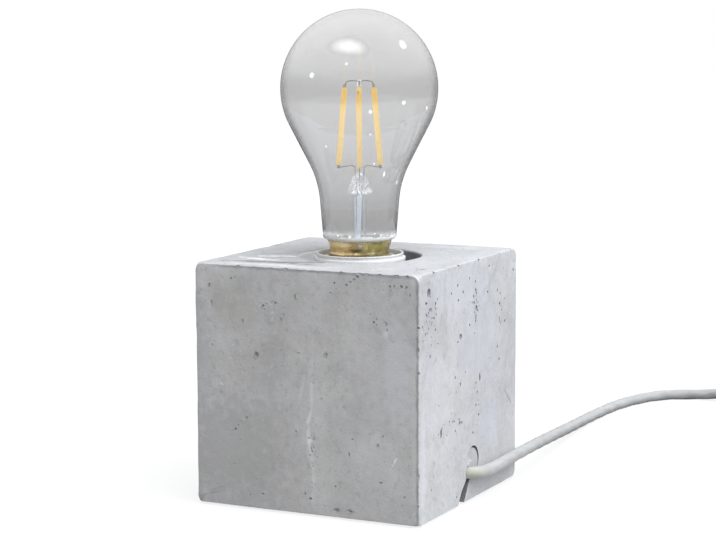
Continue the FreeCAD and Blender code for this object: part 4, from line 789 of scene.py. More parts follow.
RIGHT_HOLES = [
    (-40.6, 92.4, 3.0, 3.1, 1.7), (-42.8, 88.5, 1.3, 1.1, 0.9), (-34.3, 87.3, 1.0, 1.2, 0.8),
    (-39.6, 85.5, 1.4, 1.2, 0.9), (-42.4, 83.5, 1.0, 0.9, 0.7), (-35.7, 81.8, 1.3, 1.1, 0.8),
    (-37.6, 80.1, 1.0, 1.0, 0.8), (-34.3, 77.0, 1.0, 1.1, 0.7), (-12.4, 91.7, 1.1, 1.0, 0.8),
    (-18.6, 89.2, 1.0, 1.1, 0.7), (-11.8, 85.6, 1.0, 0.9, 0.7), (-0.6, 93.2, 0.9, 0.9, 0.6),
    (5.9, 87.7, 1.1, 1.1, 0.8), (4.0, 82.5, 1.3, 1.3, 0.9), (6.6, 80.0, 2.3, 2.1, 1.3),
    (6.0, 76.0, 1.1, 1.3, 0.8), (19.9, 95.9, 0.9, 0.9, 0.7), (46.5, 91.1, 1.0, 1.2, 0.7),
    (31.5, 78.5, 1.4, 1.2, 0.9), (31.9, 70.8, 1.1, 1.0, 0.8), (37.2, 70.4, 1.0, 1.0, 0.7),
    (-9.6, 70.5, 2.3, 2.2, 1.0), (-12.2, 68.7, 1.0, 1.0, 0.7), (-0.4, 73.9, 1.0, 1.0, 0.7),
    (31.1, 55.0, 1.0, 1.2, 0.7), (10.0, 50.7, 1.3, 3.2, 1.3), (6.2, 48.8, 1.0, 1.1, 0.8),
    (-14.8, 54.5, 1.0, 1.0, 0.7), (6.3, 39.4, 1.0, 1.1, 0.8), (9.2, 35.1, 1.0, 1.0, 0.8),
    (-10.3, 35.1, 1.2, 1.6, 0.9), (-8.0, 34.9, 1.0, 1.2, 0.8), (-28.9, 34.1, 1.4, 3.3, 1.3),
    (3.3, 28.5, 1.0, 1.0, 0.8), (-13.3, 4.8, 0.9, 1.0, 0.8),
]
TOP_HOLES = [
    (42.9, -31.8, 2.2, 0.8, 0.5), (5.2, -34.7, 1.0, 0.8, 0.6), (-38.0, 33.0, 1.1, 0.9, 0.6),
    (30.0, 38.0, 0.9, 1.0, 0.6), (38.0, 8.0, 0.8, 0.7, 0.5), (-43.0, -5.0, 0.7, 0.9, 0.5),
]
LEFT_HOLES = [
    (12.0, 78.0, 2.4, 2.2, 1.2), (-21.0, 61.0, 1.3, 2.6, 1.0), (30.0, 35.0, 1.6, 1.3, 0.9),
    (-36.0, 90.0, 1.2, 1.4, 0.8), (-5.0, 24.0, 1.0, 1.8, 0.8), (38.0, 70.0, 1.0, 1.1, 0.7),
]
BACK_HOLES = [
    (-24.0, 70.0, 2.2, 2.0, 1.2), (18.0, 84.0, 1.4, 1.2, 0.9), (33.0, 44.0, 1.2, 2.8, 1.0),
    (-38.0, 30.0, 1.6, 1.4, 0.9), (4.0, 52.0, 1.0, 1.0, 0.8), (-8.0, 15.0, 1.8, 1.2, 0.8),
]

# Patches thick with small air holes: face, middle across and up, half sizes and how many
PIT_PATCHES = [
    ("right", -40, 80, 7, 11, 34),
    ("right", 5, 82, 4, 9, 18),
    ("right", 33, 72, 5, 14, 14),
    ("right", -20, 36, 12, 4, 14),
    ("right", 8, 40, 3, 9, 10),
    ("front", 42, 94, 6, 3, 9),
    ("front", -18, 83, 7, 4, 7),
    ("front", 33, 81, 6, 4, 5),
    ("front", 2.5, 25, 2.0, 9, 9),
    ("front", 16, 4, 8, 2, 5),
]


# Concrete block, mortar and pad


def face_point(side, across, up):
    """A point on one face of the block; across and up are in millimetres."""
    half, top = BLOCK_HIGH.x / MM, BLOCK_HIGH.z / MM
    return {
        "front": mm(across, -half, up),
        "right": mm(half, across, up),
        "back": mm(across, half, up),
        "left": mm(-half, across, up),
        "top": mm(across, up, top),
    }[side]


def hole_sizes(side, width, height, depth):
    """Half sizes of a hole's cutter along X, Y and Z for the face that it lies in."""
    if side == "top":
        return mm(width / 2, height / 2, depth)
    if side in ("front", "back"):
        return mm(width / 2, depth, height / 2)
    return mm(depth, width / 2, height / 2)


def scattered_holes(chance, count, side):
    """Small air holes thrown over one face, mostly tiny, and those of its thick patches."""
    edge, recess, outlet = 46, 29, 11
    low, high = (-edge, edge) if side == "top" else (8, 96)
    holes = []
    while len(holes) < count:
        across = chance.uniform(-edge, edge)
        up = chance.uniform(low, high)
        in_recess = side == "top" and math.hypot(across, up) < recess
        near_cord = side == "right" and abs(across - 1) < outlet and up < 26
        if in_recess or near_cord:
            continue
        width = 0.45 + 0.6 * chance.random() ** 2.5
        holes.append((across, up, width, width * chance.uniform(0.8, 1.6), width * 0.7))
    for face, middle, height, spread, rise, number in PIT_PATCHES:
        for _ in range(number if face == side else 0):
            across = max(-47, min(47, chance.gauss(middle, spread / 2)))
            up = max(3, min(97, chance.gauss(height, rise / 2)))
            width = 0.4 + 0.55 * chance.random() ** 2
            deep = width * (0.8 if face == "right" else 0.35)
            holes.append((across, up, width, width * chance.uniform(0.7, 1.7), deep))
    return holes


def edge_nicks(chance):
    """Little losses along the edges: a middle point and half sizes, in millimetres."""
    inward = 0.35
    half, top = BLOCK_HIGH.x / MM - inward, BLOCK_HIGH.z / MM - inward
    nicks = []
    for x in (16.5, 24.0, 27.5, 33.0, 40.5, 45.0, -8.0, -30.0):
        nicks.append(((x, -half, top), (chance.uniform(0.6, 1.6), 0.55, 0.5)))
    for z in (80.0, 71.0, 62.0, 38.0, 21.0, 9.0):
        nicks.append(((half, -half, z), (0.5, 0.5, chance.uniform(0.5, 1.6))))
    for y in (-36.0, -12.0, 9.0, 31.0, 44.0):
        nicks.append(((half, y, top), (0.5, chance.uniform(0.5, 1.5), 0.5)))
        nicks.append(((-half, -y, top), (0.5, chance.uniform(0.5, 1.5), 0.5)))
    for x in (-40.0, -14.0, 11.0, 29.0, 42.0):
        nicks.append(((x, half, top), (chance.uniform(0.5, 1.5), 0.5, 0.5)))
    return nicks


def hole_cutter(pale, dark):
    """All the air holes, cracks and nicks as one set of round lumps, to be cut out together."""
    chance = random.Random(7)
    small_holes = bpy.context.scene.lamp_sizes.small_holes
    widening, front_share = 1.15, 0.8
    lumps = []
    for side, holes in (
        ("front", FRONT_HOLES),
        ("right", RIGHT_HOLES),
        ("top", TOP_HOLES),
        ("left", LEFT_HOLES),
        ("back", BACK_HOLES),
    ):
        # Holes on the right face take the darker painted shade, the others the paler.
        finish = dark if side == "right" else pale
        for across, up, width, height, depth in holes + scattered_holes(chance, small_holes, side):
            depth *= front_share if side == "front" else 1.0
            half_sizes = hole_sizes(side, width * widening, height * widening, depth)
            lumps.append((face_point(side, across, up), half_sizes, finish))
    for middle, half_sizes in edge_nicks(chance):
        lumps.append((mm(*middle), mm(*half_sizes), pale))
    settle()
    bpy.ops.mesh.primitive_ico_sphere_add(subdivisions=2, radius=MM, location=(0, 0, 0))
    model = bpy.context.object
    spin_axis = Vector((1, 2, 3)).normalized()
    copies = []
    for middle, half_sizes, finish in lumps:
        lump = copied(model)
        lump.data.materials.append(finish)
        spin = Matrix.Rotation(chance.uniform(0, math.tau), 4, spin_axis)
        stretch = Matrix.Diagonal((*(part / MM for part in half_sizes), 1))
        lump.data.transform(Matrix.Translation(middle) @ stretch @ spin)
        copies.append(lump)
    bpy.data.objects.remove(model)
    cutter = joined(*copies)
    uneven(cutter, 0.0004, 0.0011, 1)
    return cutter


def patch_round(radius, start, end, aside=0.0, above=0.0):
    """Round plug of the mortar patch, lying through the right wall."""
    plug = put(post(radius, start, end, 64), Matrix.Rotation(math.radians(90), 4, "Y"))
    return put(plug, Matrix.Translation(mm(0, PATCH_ACROSS + aside, PATCH_UP + above)))


def cord_passage():
    """The round way that the cord takes through the wall."""
    entry = mm(19.5, -15.5, CORD_OUTLET[2])
    run = mm(*CORD_OUTLET) - entry
    way = post(2.65, 0, run.length / MM + 5, 32)
    return put(way, Matrix.Translation(entry) @ laid_along(run))


def slot_cutter():
    """Leaning slot under the cord, from its hole down to the underside."""
    corners = [
        (-2.9, 12.5), (1.2, 12.5), (0.5, 9.8), (-2.4, 5.6), (-5.4, 1.0), (-5.4, -1.0),
        (-12.0, -1.0), (-12.0, 1.0), (-8.2, 6.0), (-3.7, 9.8),
    ]
    return prism([mm(22, y, z) for y, z in corners], mm(30, 0, 0))


class LAMP_OT_concrete(bpy.types.Operator):
    """Cast concrete cube with its recess, chamber, cord outlet, air holes and worn edges"""

    bl_idname = "lamp.concrete"
    bl_label = "Concrete cube"

    def execute(self, context):
        sizes = context.scene.lamp_sizes
        colour = context.scene.lamp_colours.concrete
        cube = self.cast(sizes)
        # Darker copies of the concrete for the insides of the air holes, the slot, the cord's way
        # and the gap round the patch: painted shade in these hollows.
        pale = concrete_finish("hole_pale_painted_shade", shade(colour, 0.72), stains_and_painted_light=False)
        dark = concrete_finish("hole_grey_painted_shade", shade(colour, 0.60), stains_and_painted_light=False)
        deep = concrete_finish("slot_painted_shade", shade(colour, 0.30), stains_and_painted_light=False)
        self.hollow(cube, sizes.recess_radius / MM)
        cut(cube, patch_round(PATCH_RADIUS, 27.0, 52.0))
        worn_rim = patch_round(PATCH_RADIUS, 46.0, 52.0, 0.9, 0.7)
        for shape in (worn_rim, cord_passage(), slot_cutter()):
            shape.data.materials.append(deep)
            cut(cube, shape)
        cut(cube, hole_cutter(pale, dark), crossing=True)
        trim_slivers(cube)
        finish = concrete_finish("cast_concrete", colour)
        ready(cube, "concrete_cube", finish, "lamp", ["concrete_block"], smooth=40)
        return {"FINISHED"}

    def cast(self, sizes):
        """The solid block with its rounded corners and edges and its uneven faces."""
        low, high = BLOCK_LOW.copy(), BLOCK_HIGH.copy()
        low.z -= sizes.cube_wander
        cube = slab(low, high)
        corner = {"affect": "VERTICES", "width": 0.0042, "limit_method": "NONE"}
        edge = {"width": sizes.cube_edge, "limit_method": "ANGLE", "angle_limit": 0.9}
        apply_modifier(cube, "BEVEL", segments=4, **corner)
        apply_modifier(cube, "BEVEL", segments=4, **edge)
        edit(cube)
        for axis in range(3):
            reach = (high[axis] - low[axis]) / 2 - sizes.cube_edge
            middle = (high[axis] + low[axis]) / 2
            steps = round(2 * reach / sizes.cube_grid)
            for step in range(1, steps):
                plane, normal = Vector((0, 0, 0)), Vector((0, 0, 0))
                plane[axis] = middle - reach + 2 * reach * step / steps
                normal[axis] = 1
                slice_faces(plane, normal)
        uneven(cube, sizes.cube_wander, 0.022)
        uneven(cube, sizes.cube_wander / 2, 0.006, 1)
        edit(cube)
        foot = Vector((0, 0, BLOCK_LOW.z))
        bpy.ops.mesh.bisect(plane_co=foot, plane_no=(0, 0, -1), clear_outer=True, use_fill=True)
        mend(cube)
        return cube

    def hollow(self, cube, recess):
        """Takes out the recess with its worn lip, the chamber and the hole between the two."""
        shelf_drop, shelf_thickness, chamber_radius, hole_radius = 14, 10, 28, 5.4
        shelf, top = SKIRT_LOW.z / MM - shelf_drop, BLOCK_HIGH.z / MM
        under = shelf - shelf_thickness
        lip = turned(
            [
                (0, shelf), (recess, shelf), (recess, top - 0.9), (recess + 0.2, top - 0.4),
                (recess + 0.8, top), (recess + 1.2, top + 3), (0, top + 3),
            ],
            128,
        )
        chamber = post(chamber_radius, -1, under, 96)
        hole = post(hole_radius, under - 2, shelf + 1, 48)
        cut(cube, lip, chamber, hole)


class LAMP_OT_mortar(bpy.types.Operator):
    """Rough round patch of mortar round the cord's hole, with a small lump over the cord"""

    bl_idname = "lamp.mortar"
    bl_label = "Mortar patch"

    def execute(self, context):
        colour = context.scene.lamp_colours.mortar
        gap, spacing = 0.06, 1.05
        patch = patch_round(PATCH_RADIUS - gap, 27.2, 49.9)
        edit(patch)
        for x in (49.0, 47.5, 45.0, 40.0):
            slice_faces(mm(x, 0, 0), (1, 0, 0))
        for k in range(-5, 6):
            slice_faces(mm(0, PATCH_ACROSS + k * spacing, 0), (0, 1, 0))
            slice_faces(mm(0, 0, PATCH_UP + k * spacing), (0, 0, 1))
        cut(patch, cord_passage(), slot_cutter())
        settle()
        bpy.ops.mesh.primitive_ico_sphere_add(subdivisions=3, radius=MM)
        lump = bpy.context.object
        put(lump, Matrix.Translation(mm(49.7, -0.2, 16.2)) @ Matrix.Diagonal((0.8, 2.6, 1.7, 1)))
        uneven(lump, 0.0011, 0.0012)
        patch = joined(patch, lump)
        finish = Finish("mortar_patch")
        coarse = finish.noise(320, 5, 0.7)
        fine = finish.noise(1800, 2)
        finish.colour(finish.mix(finish.span(coarse, 0.35, 0.65), shade(colour, 0.78), colour))
        finish.roughness(finish.span(fine, 0.3, 0.7, 0.85, 0.97))
        finish.relief(coarse, 0.0007, 0.8)
        ready(patch, "mortar_patch", finish.material, "lamp", ["exit_mortar"])
        return {"FINISHED"}


# Lampholder


class LAMP_OT_holder(bpy.types.Operator):
    """White lampholder: the skirt with its outer ring and rounded rim, set in the recess"""

    bl_idname = "lamp.holder"
    bl_label = "Lampholder"

    def execute(self, context):
        colour = context.scene.lamp_colours.holder
        low, top = SKIRT_LOW.z / MM, SKIRT_HIGH.z / MM
        line = [(17.3, low), (18.1, low), (18.3, low + 0.3)]
        line += raised(
            top,
            (18.3, -4.4), (18.5, -4.25), (18.8, -3.45), (19.05, -3.3), (19.1, -3.0), (19.1, -2.1),
            (19.0, -1.85), (18.75, -1.75), (17.95, -1.7), (17.85, -1.5), (17.85, -0.8),
            (18.1, -0.7), (18.28, -0.5), (18.3, -0.3), (18.2, -0.08), (17.95, 0), (17.6, 0),
            (17.4, -0.1), (17.3, -0.35), (17.3, -2.0),
        )
        skirt = turned(line, 144)
        finish = moulded("holder_white", colour, 0.3, 500, Coat_Weight=0.1)
        ready(skirt, "holder_collar", finish, "lamp", ["holder_skirt"], smooth=40)
        return {"FINISHED"}


# Bulb


def arc(centre, radius, start, end, steps):
    """Points on an arc in the profile's plane; angles in degrees from the outward direction."""
    points = []
    for step in range(steps + 1):
        angle = math.radians(start + (end - start) * step / steps)
        points.append((centre[0] + radius * math.cos(angle), centre[1] + radius * math.sin(angle)))
    return points


def envelope_line(inset):
    """The glass line from its top down to the neck's foot, drawn inward, in millimetres."""
    ball, throat_radius, foot_radius = 32.6, 41.0, 15.3
    cone_lean, neck_lean = 27.0, 4.6
    cone, neck = math.radians(cone_lean), math.radians(neck_lean)
    radius, centre = ball - inset, GLASS_HIGH.z / MM - ball
    foot_z = CAP_HIGH.z / MM + 1.8
    side = (radius * math.cos(cone), centre - radius * math.sin(cone))
    foot = foot_radius - inset / math.cos(neck)
    rise = side[0] - foot - (side[1] - foot_z) * math.tan(cone)
    rise /= math.tan(neck) - math.tan(cone)
    corner = (foot + rise * math.tan(neck), foot_z + rise)
    throat = throat_radius + inset
    reach = throat * math.tan((cone - neck) / 2)
    lower = (corner[0] - reach * math.sin(neck), corner[1] - reach * math.cos(neck))
    middle = (lower[0] + throat * math.cos(neck), lower[1] - throat * math.sin(neck))
    line = arc((0, centre), radius, 90, -cone_lean, 40)
    line += arc(middle, throat, 180 - cone_lean, 180 - neck_lean, 12)
    return line + [(foot, foot_z)]


# Painted glints on the glass, glowing spots that stand in for small reflections: a place and half
# sizes in millimetres, and how bright
GLINTS = [
    ((27.9, -16.1, 164.8), (1.3, 1.3, 1.3), 1.0),
    ((17.8, -26.1, 161.4), (1.2, 1.2, 1.2), 0.8),
    ((31.7, -2.3, 162.1), (1.0, 1.0, 1.5), 0.8),
    ((30.8, -5.0, 164.6), (0.6, 0.6, 0.6), 0.7),
    ((16.3, -10.4, 135.3), (0.8, 0.8, 2.4), 0.9),
    ((14.4, -15.9, 139.8), (0.7, 0.7, 0.7), 0.7),
    ((17.9, -1.7, 131.2), (0.6, 0.9, 1.7), 0.6),
    ((-2.7, -25.0, 147.0), (0.6, 0.6, 0.9), 0.6),
    ((16.1, -22.7, 152.2), (0.9, 0.9, 0.8), 0.45),
    ((-2.6, -15.0, 109.6), (0.8, 0.8, 0.7), 0.7),
    ((2.8, -15.1, 109.2), (0.9, 0.9, 0.9), 0.8),
    ((11.8, -10.0, 110.6), (0.7, 0.7, 0.7), 0.9),
    ((13.4, -7.6, 109.7), (0.7, 0.7, 0.7), 0.9),
    ((15.2, -1.7, 108.8), (0.8, 0.9, 0.7), 0.8),
]


class LAMP_OT_glass(bpy.types.Operator):
    """Blown bulb of smoke-tinted glass with its wall, shoulder and collar"""

    bl_idname = "lamp.glass"
    bl_label = "Glass envelope"

    def execute(self, context):
        wall = context.scene.lamp_sizes.glass_wall / MM
        shoulder = CAP_HIGH.z / MM + 0.5
        outer = envelope_line(0)
        outer += raised(
            shoulder, (15.1, 0.85), (14.7, 0.35), (14.1, 0.08), (13.4, 0), (10.4, -0.05)
        )
        outer += [(10.4, COLLAR_LOW)]
        inner = envelope_line(wall)
        inner += [
            (14.3, shoulder + 0.95 + wall / 2), (13.8, shoulder + 0.8 + wall / 2),
            (10.0, shoulder + wall), (9.7, shoulder + wall - 0.4), (9.7, COLLAR_LOW),
        ]
        envelope = turned(outer + inner[::-1], 128)
        finish = self.smoke(context.scene.lamp_colours.glass)
        ready(envelope, "glass_envelope", finish, "bulb", ["bulb_glass"], smooth=50)
        return {"FINISHED"}

    def smoke(self, tint):
        """Clear glass, tinted darker towards the bottom, with a painted reflection as a darker
        band near its widest part, painted shade along its outline, a painted glow near the foot
        and painted glints.
        """
        finish = Finish("smoke_glass")
        low, high = GLASS_LOW.z, GLASS_HIGH.z
        wave = finish.span(finish.noise(28, 2), 0.3, 0.7, -0.0015, 0.0015)
        height = finish.plus(finish.axis("Z"), wave)
        # Tint by height: darker towards the bottom, and a darker band near the widest part that is
        # a painted reflection of the room.
        bands = (
            (0.105, 0.72), (0.118, 0.76), (0.130, 0.85), (0.145, 0.925), (0.1642, 0.975),
            (0.1658, 0.905), (0.1738, 0.915), (0.1765, 0.965), (0.185, 1.03), (0.198, 1.12),
        )
        stops = [((z - low) / (high - low), shade(tint, share)) for z, share in bands]
        through = finish.ramp(finish.span(height, low, high), stops)
        # Painted shade along the outline, strongest on the neck, for the dark room that the glass
        # shows edge-on.
        edge = finish.add("ShaderNodeLayerWeight", {"Blend": 0.5}).outputs["Facing"]
        lower = finish.span(height, 0.178, 0.150, 0.25, 1.0, smooth=True)
        # Painted glow near the foot, where the pale cement shows through; it also takes the dark
        # outline away there.
        foot = finish.times(
            finish.span(finish.axis("Z"), 0.1118, 0.1086, smooth=True),
            finish.span(finish.noise(520, 3), 0.35, 0.65, 0.25, 1.0),
        )
        above_foot = finish.calc("SUBTRACT", 1.0, foot)
        rim = finish.times(finish.span(edge, 0.54, 0.90, smooth=True), lower, above_foot)
        finish.colour(finish.mix(rim, through, shade(tint, 0.22)))
        # Painted glints: glowing spots on the glass that stand in for small reflections.
        shine = finish.times(foot, 0.24)
        glint_scale = 0.85
        for place, size, strength in GLINTS:
            size = [part * glint_scale for part in size]
            spot = finish.blotch(place, size, core=0.1, ragged=0.1)
            shine = finish.plus(shine, finish.times(spot, strength))
        finish.glow((1, 1, 1, 1), shine)
        finish.set(Roughness=0.0, IOR=1.5, Transmission_Weight=1.0)
        return finish.material


class LAMP_OT_screw_cap(bpy.types.Operator):
    """Metal screw cap with its rolled thread and flared lip, and the line of cement over it"""

    bl_idname = "lamp.screw_cap"
    bl_label = "Screw cap"

    def execute(self, context):
        top = CAP_HIGH.z / MM
        cap = self.shell(CAP_LOW.z / MM, top)
        finish = self.brass(context.scene.lamp_colours.brass, top)
        ready(cap, "brass_cap", finish, "bulb", ["bulb_screw_cap"], smooth=50)
        paste = moulded("cap_cement", (0.90, 0.90, 0.885), 0.25, 900, 0.0004)
        cement = self.cement(top)
        ready(cement, "cement_line", paste, "bulb", ["cap_cement"], smooth=50)
        return {"FINISHED"}

    def shell(self, low, top):
        """The turned cap, with its thread swelled out of the plain wall."""
        thread_low, thread_high = top - 18.5, top - 4.7
        core, wall, crest = 12.0, 12.2, 0.86
        line = raised(low, (9.8, 0), (10.4, 0), (11.4, 0.7), (wall, 1.9))
        rows = 60
        for row in range(rows + 1):
            line.append((wall, low + 2.1 + (thread_high + 0.2 - low - 2.1) * row / rows))
        line += raised(
            top,
            (12.25, -4.0), (12.4, -3.4), (12.6, -2.7), (12.82, -2.0), (13.02, -1.3), (13.2, -0.7),
            (13.3, -0.4), (13.3, -0.12), (13.18, 0), (12.6, 0), (11.4, -0.3),
        )
        line += raised(low, (11.4, 2.0), (9.8, 0.8))
        cap = turned(line, 120)
        for point in cap.data.vertices:
            radius = math.hypot(point.co.x, point.co.y)
            height = point.co.z / MM
            if radius < core * MM or not thread_low - 1.8 < height < thread_high + 0.1:
                continue
            way = math.atan2(point.co.y, point.co.x) / math.tau
            phase = (height - thread_low) / THREAD_PITCH - way
            swell = (0.5 + 0.5 * math.cos(math.tau * phase)) ** 0.9
            fade = min(1, (height - thread_low + 1.8) / 1.6, (thread_high + 0.1 - height) / 1.2)
            grown = (radius / MM + crest * swell * max(0, fade)) * MM / radius
            point.co.x *= grown
            point.co.y *= grown
        return cap

    def cement(self, top):
        """The pale line between cap and glass, with a wavy upper edge."""
        line = raised(
            top,
            (10.4, -5.6), (11.35, -5.6), (11.35, -0.2), (13.0, 0.02), (13.7, 0.12), (14.5, 0.42),
            (15.05, 0.85), (15.32, 1.4), (15.40, 1.9), (15.43, 2.3), (15.2, 2.35), (14.6, 1.25),
            (14.0, 0.85), (13.2, 0.7), (10.4, 0.55),
        )
        cement = turned(line, 144)
        for point in cement.data.vertices:
            if point.co.z > (top + 1.7) * MM:
                turn = math.atan2(point.co.y, point.co.x)
                wave = 0.28 * math.sin(5 * turn) + 0.22 * math.sin(13 * turn + 1)
                wave += 0.16 * math.sin(29 * turn)
                point.co.z += (wave - 0.1) * MM
        return cement

    def brass(self, colour, top):
        """Brass with dull and bright patches, a greenish side that is a painted reflection,
        painted shade low down, painted highlights and a dark spot low at the front.
        """
        finish = Finish("cap_brass")
        patch = finish.noise(150, 4, 0.65, distortion=0.8)
        dull = (colour[0] * 0.68, colour[1] * 0.57, colour[2] * 0.41)
        tone = finish.mix(finish.span(patch, 0.38, 0.60), dull, shade(colour, 1.25))
        # Painted reflection: the side towards the right turns greenish and dull.
        way = finish.plus(finish.axis("X"), finish.times(finish.axis("Y"), 0.5))
        olive_reflection_side = finish.span(way, -0.008, 0.004, 0.0, 0.75, smooth=True)
        spots = finish.span(patch, 0.40, 0.62)
        tone = finish.mix(olive_reflection_side, tone, finish.mix(spots, (0.29, 0.26, 0.095), (0.82, 0.75, 0.34)))
        # Painted shade low down, where the cap goes into the holder.
        height = finish.axis("Z")
        low = finish.span(height, (top - 3.6) * MM, (top - 4.8) * MM, 0.0, 0.45, smooth=True)
        tone = finish.mix(low, tone, (0.22, 0.19, 0.12))
        # A dark spot low at the front, then painted highlights towards the left and middle and
        # painted reflection on the right side.
        for (x, y, drop), size, tint, strength in (
            ((4.6, -11.9, 3.6), (4.4, 3, 1.3), (0.09, 0.085, 0.045), 0.9),
            ((-5.2, -11.7, 3.2), (5, 4, 1.5), (1.0, 0.72, 0.30), 0.85),
            ((-0.5, -12.8, 1.2), (3.5, 3, 0.8), (1.0, 0.86, 0.56), 0.8),
            ((5.7, -11.4, 1.6), (1.5, 3, 1.9), (0.92, 0.88, 0.82), 0.8),
            ((11.3, -6.0, 2.1), (4, 5, 1.6), (0.58, 0.55, 0.16), 0.7),
            ((12.4, 3.3, 3.6), (3, 4, 1.2), (0.42, 0.35, 0.24), 0.7),
        ):
            mark = finish.blotch((x, y, top - drop), size, 26, core=0.2)
            tone = finish.paint(tone, tint, mark, strength)
        finish.colour(tone)
        finish.roughness(finish.span(patch, 0.3, 0.7, 0.38, 0.16))
        finish.relief(patch, 0.0004, 0.6)
        finish.set(Metallic=0.68)
        return finish.material


class LAMP_OT_bulb_inside(bpy.types.Operator):
    """Glass mount, exhaust tube, four filament sticks with their metal ends, inside the bulb"""

    bl_idname = "lamp.bulb_inside"
    bl_label = "Inside of the bulb"

    def execute(self, context):
        self.mount()
        self.exhaust()
        self.sticks(context.scene.lamp_colours.phosphor)
        self.wires()
        return {"FINISHED"}

    def mount(self):
        """Flared tube, flattened pinch and the rod over it, in clear glass."""
        pinch_low = CAP_HIGH.z / MM + 19.6
        rod_low, rod_high = pinch_low + 7.4, GLASS_HIGH.z / MM - 29.0
        flare = raised(
            COLLAR_LOW,
            (8.9, 0), (9.5, 0), (8.6, 1.2), (6.2, 3.2), (4.2, 5.2), (3.5, 7.4), (3.4, 10),
        )
        neck = raised(pinch_low, (3.4, -1), (3.0, 0.8), (2.4, 0.6), (2.8, -1))
        inside = raised(COLLAR_LOW, (2.8, 10), (2.9, 7.4), (3.6, 5.4), (5.6, 3.6), (8.2, 1.4))
        tube = turned(flare + neck + inside, 48)
        width, depth, rise = 5.0, 1.7, 8.0
        pinch = slab(mm(-width, -depth, pinch_low - 0.6), mm(width, depth, pinch_low + rise))
        edit(pinch)
        bpy.ops.mesh.subdivide(number_cuts=3)
        settle()
        for point in pinch.data.vertices:
            share = (point.co.z / MM - pinch_low) / rise
            point.co.x *= 1.12 - 0.75 * max(0, share)
            point.co.y *= 1.0 - 0.18 * abs(point.co.x) / (width * MM) + 0.1 * share
        apply_modifier(pinch, "SUBSURF", levels=2, render_levels=2)
        uneven(pinch, 0.0011, 0.0035)
        put(pinch, Matrix.Rotation(math.radians(INSIDE_TURN), 4, "Z"))
        foot = raised(rod_low, (0, 0), (1.5, 0), (1.2, 1.5), (1.05, 4))
        knob = raised(
            rod_high,
            (1.05, -4.5), (1.2, -3.6), (1.45, -2.6), (1.45, -1.4), (1.1, -0.4), (0.5, 0), (0, 0),
        )
        rod = turned(foot + knob, 32)
        mount = joined(tube, pinch, rod)
        finish = self.clear_glass(pinch_low, rod_high)
        ready(mount, "glass_mount", finish, "bulb", ["bulb_stem"], smooth=50)

    def clear_glass(self, pinch_low, rod_high):
        """Clear glass that turns milky, glowing as painted glints, in the lace of the pinch and in
        the knob of the rod.
        """
        finish = Finish("clear_glass")
        height = finish.axis("Z")
        within = finish.times(
            finish.span(height, (pinch_low - 1.2) * MM, pinch_low * MM),
            finish.span(height, (pinch_low + 9.0) * MM, (pinch_low + 7.6) * MM),
        )
        knob = finish.times(
            finish.span(height, (rod_high - 4.6) * MM, (rod_high - 3.8) * MM),
            finish.span(finish.noise(900, 2), 0.57, 0.61),
        )
        ridge = finish.noise(300, 3, 0.6, stretch=(1, 1, 0.6), distortion=1.0)
        ridge = finish.calc("ABSOLUTE", finish.calc("SUBTRACT", ridge, 0.5))
        lace = finish.times(within, finish.span(ridge, 0.034, 0.008, 0.06, 1.0))
        milky_and_glint = finish.calc("MAXIMUM", lace, knob)
        finish.colour(finish.mix(milky_and_glint, (0.97, 0.98, 0.98), (0.93, 0.94, 0.95)))
        finish.roughness(finish.span(milky_and_glint, 0, 1, 0.0, 0.25))
        finish.relief(finish.noise(450, 2), 0.0002, 0.4)
        # Painted glints: where the mask is, the glass glows though it is no lamp.
        finish.glow((0.92, 0.96, 1.0, 1.0), finish.span(milky_and_glint, 0, 1, 0.0, 0.7))
        finish.set(IOR=1.01, Transmission_Weight=finish.span(milky_and_glint, 0, 1, 1.0, 0.5))
        return finish.material

    def exhaust(self):
        """Pale tube up the middle of the mount, leaning a little to the left at its foot."""
        low, high = COLLAR_LOW, CAP_HIGH.z / MM + 18.4
        lean, lean_way = -0.9, (0.896, 0.443)
        line = [(0, low), (0.9, low)]
        line += raised(high, (0.9, -2), (1.05, -0.8), (0.7, 0), (0, 0))
        tube = turned(line, 32)
        for point in tube.data.vertices:
            aside = lean * MM * (high * MM - point.co.z) / ((high - low) * MM)
            point.co.x += lean_way[0] * aside
            point.co.y += lean_way[1] * aside
        finish = Finish("milky_glass_painted_glow")
        streaks = finish.span(finish.noise(90, 3, stretch=(1, 1, 0.3)), 0.35, 0.65)
        finish.colour(finish.mix(streaks, (0.66, 0.74, 0.84), (0.86, 0.90, 0.94)))
        finish.set(Roughness=0.3, IOR=1.2)
        # Painted glow: the tube glows though it is no lamp, to stand in for the light it would
        # catch inside the bulb.
        finish.glow((0.75, 0.85, 1.0, 1.0), 0.75)
        ready(tube, "exhaust_tube", finish.material, "bulb", ["bulb_stem"])

    def wires(self):
        """Bare wires: from the pinch out to the sticks' feet, and from their tops to the rod."""
        chains = (
            ((0.5, 124.6), (1.7, 131.0), (1.9, 137.0), (3.2, 137.7), (8.8, 136.9)),
            ((0.9, 172.4), (3.4, 172.6), (5.3, 172.1), (5.9, 170.8)),
        )
        lengths = [pair for chain in chains for pair in zip(chain, chain[1:])]
        radius, tip = 0.18, 0.2
        shapes = []
        for k in range(4):
            turn = Matrix.Rotation(math.radians(INSIDE_TURN + 90 * (k - 1)), 4, "Z")
            for (r1, z1), (r2, z2) in lengths:
                start, end = mm(r1, 0, z1), mm(r2, 0, z2)
                run = end - start
                far = run.length / MM
                line = [(0, -tip), (radius, 0), (radius, far), (0, far + tip)]
                wire = turned(line, 10)
                shapes.append(put(wire, turn @ Matrix.Translation(start) @ laid_along(run)))
        piece = joined(*shapes)
        finish = Finish("wire_painted_light_and_shade")
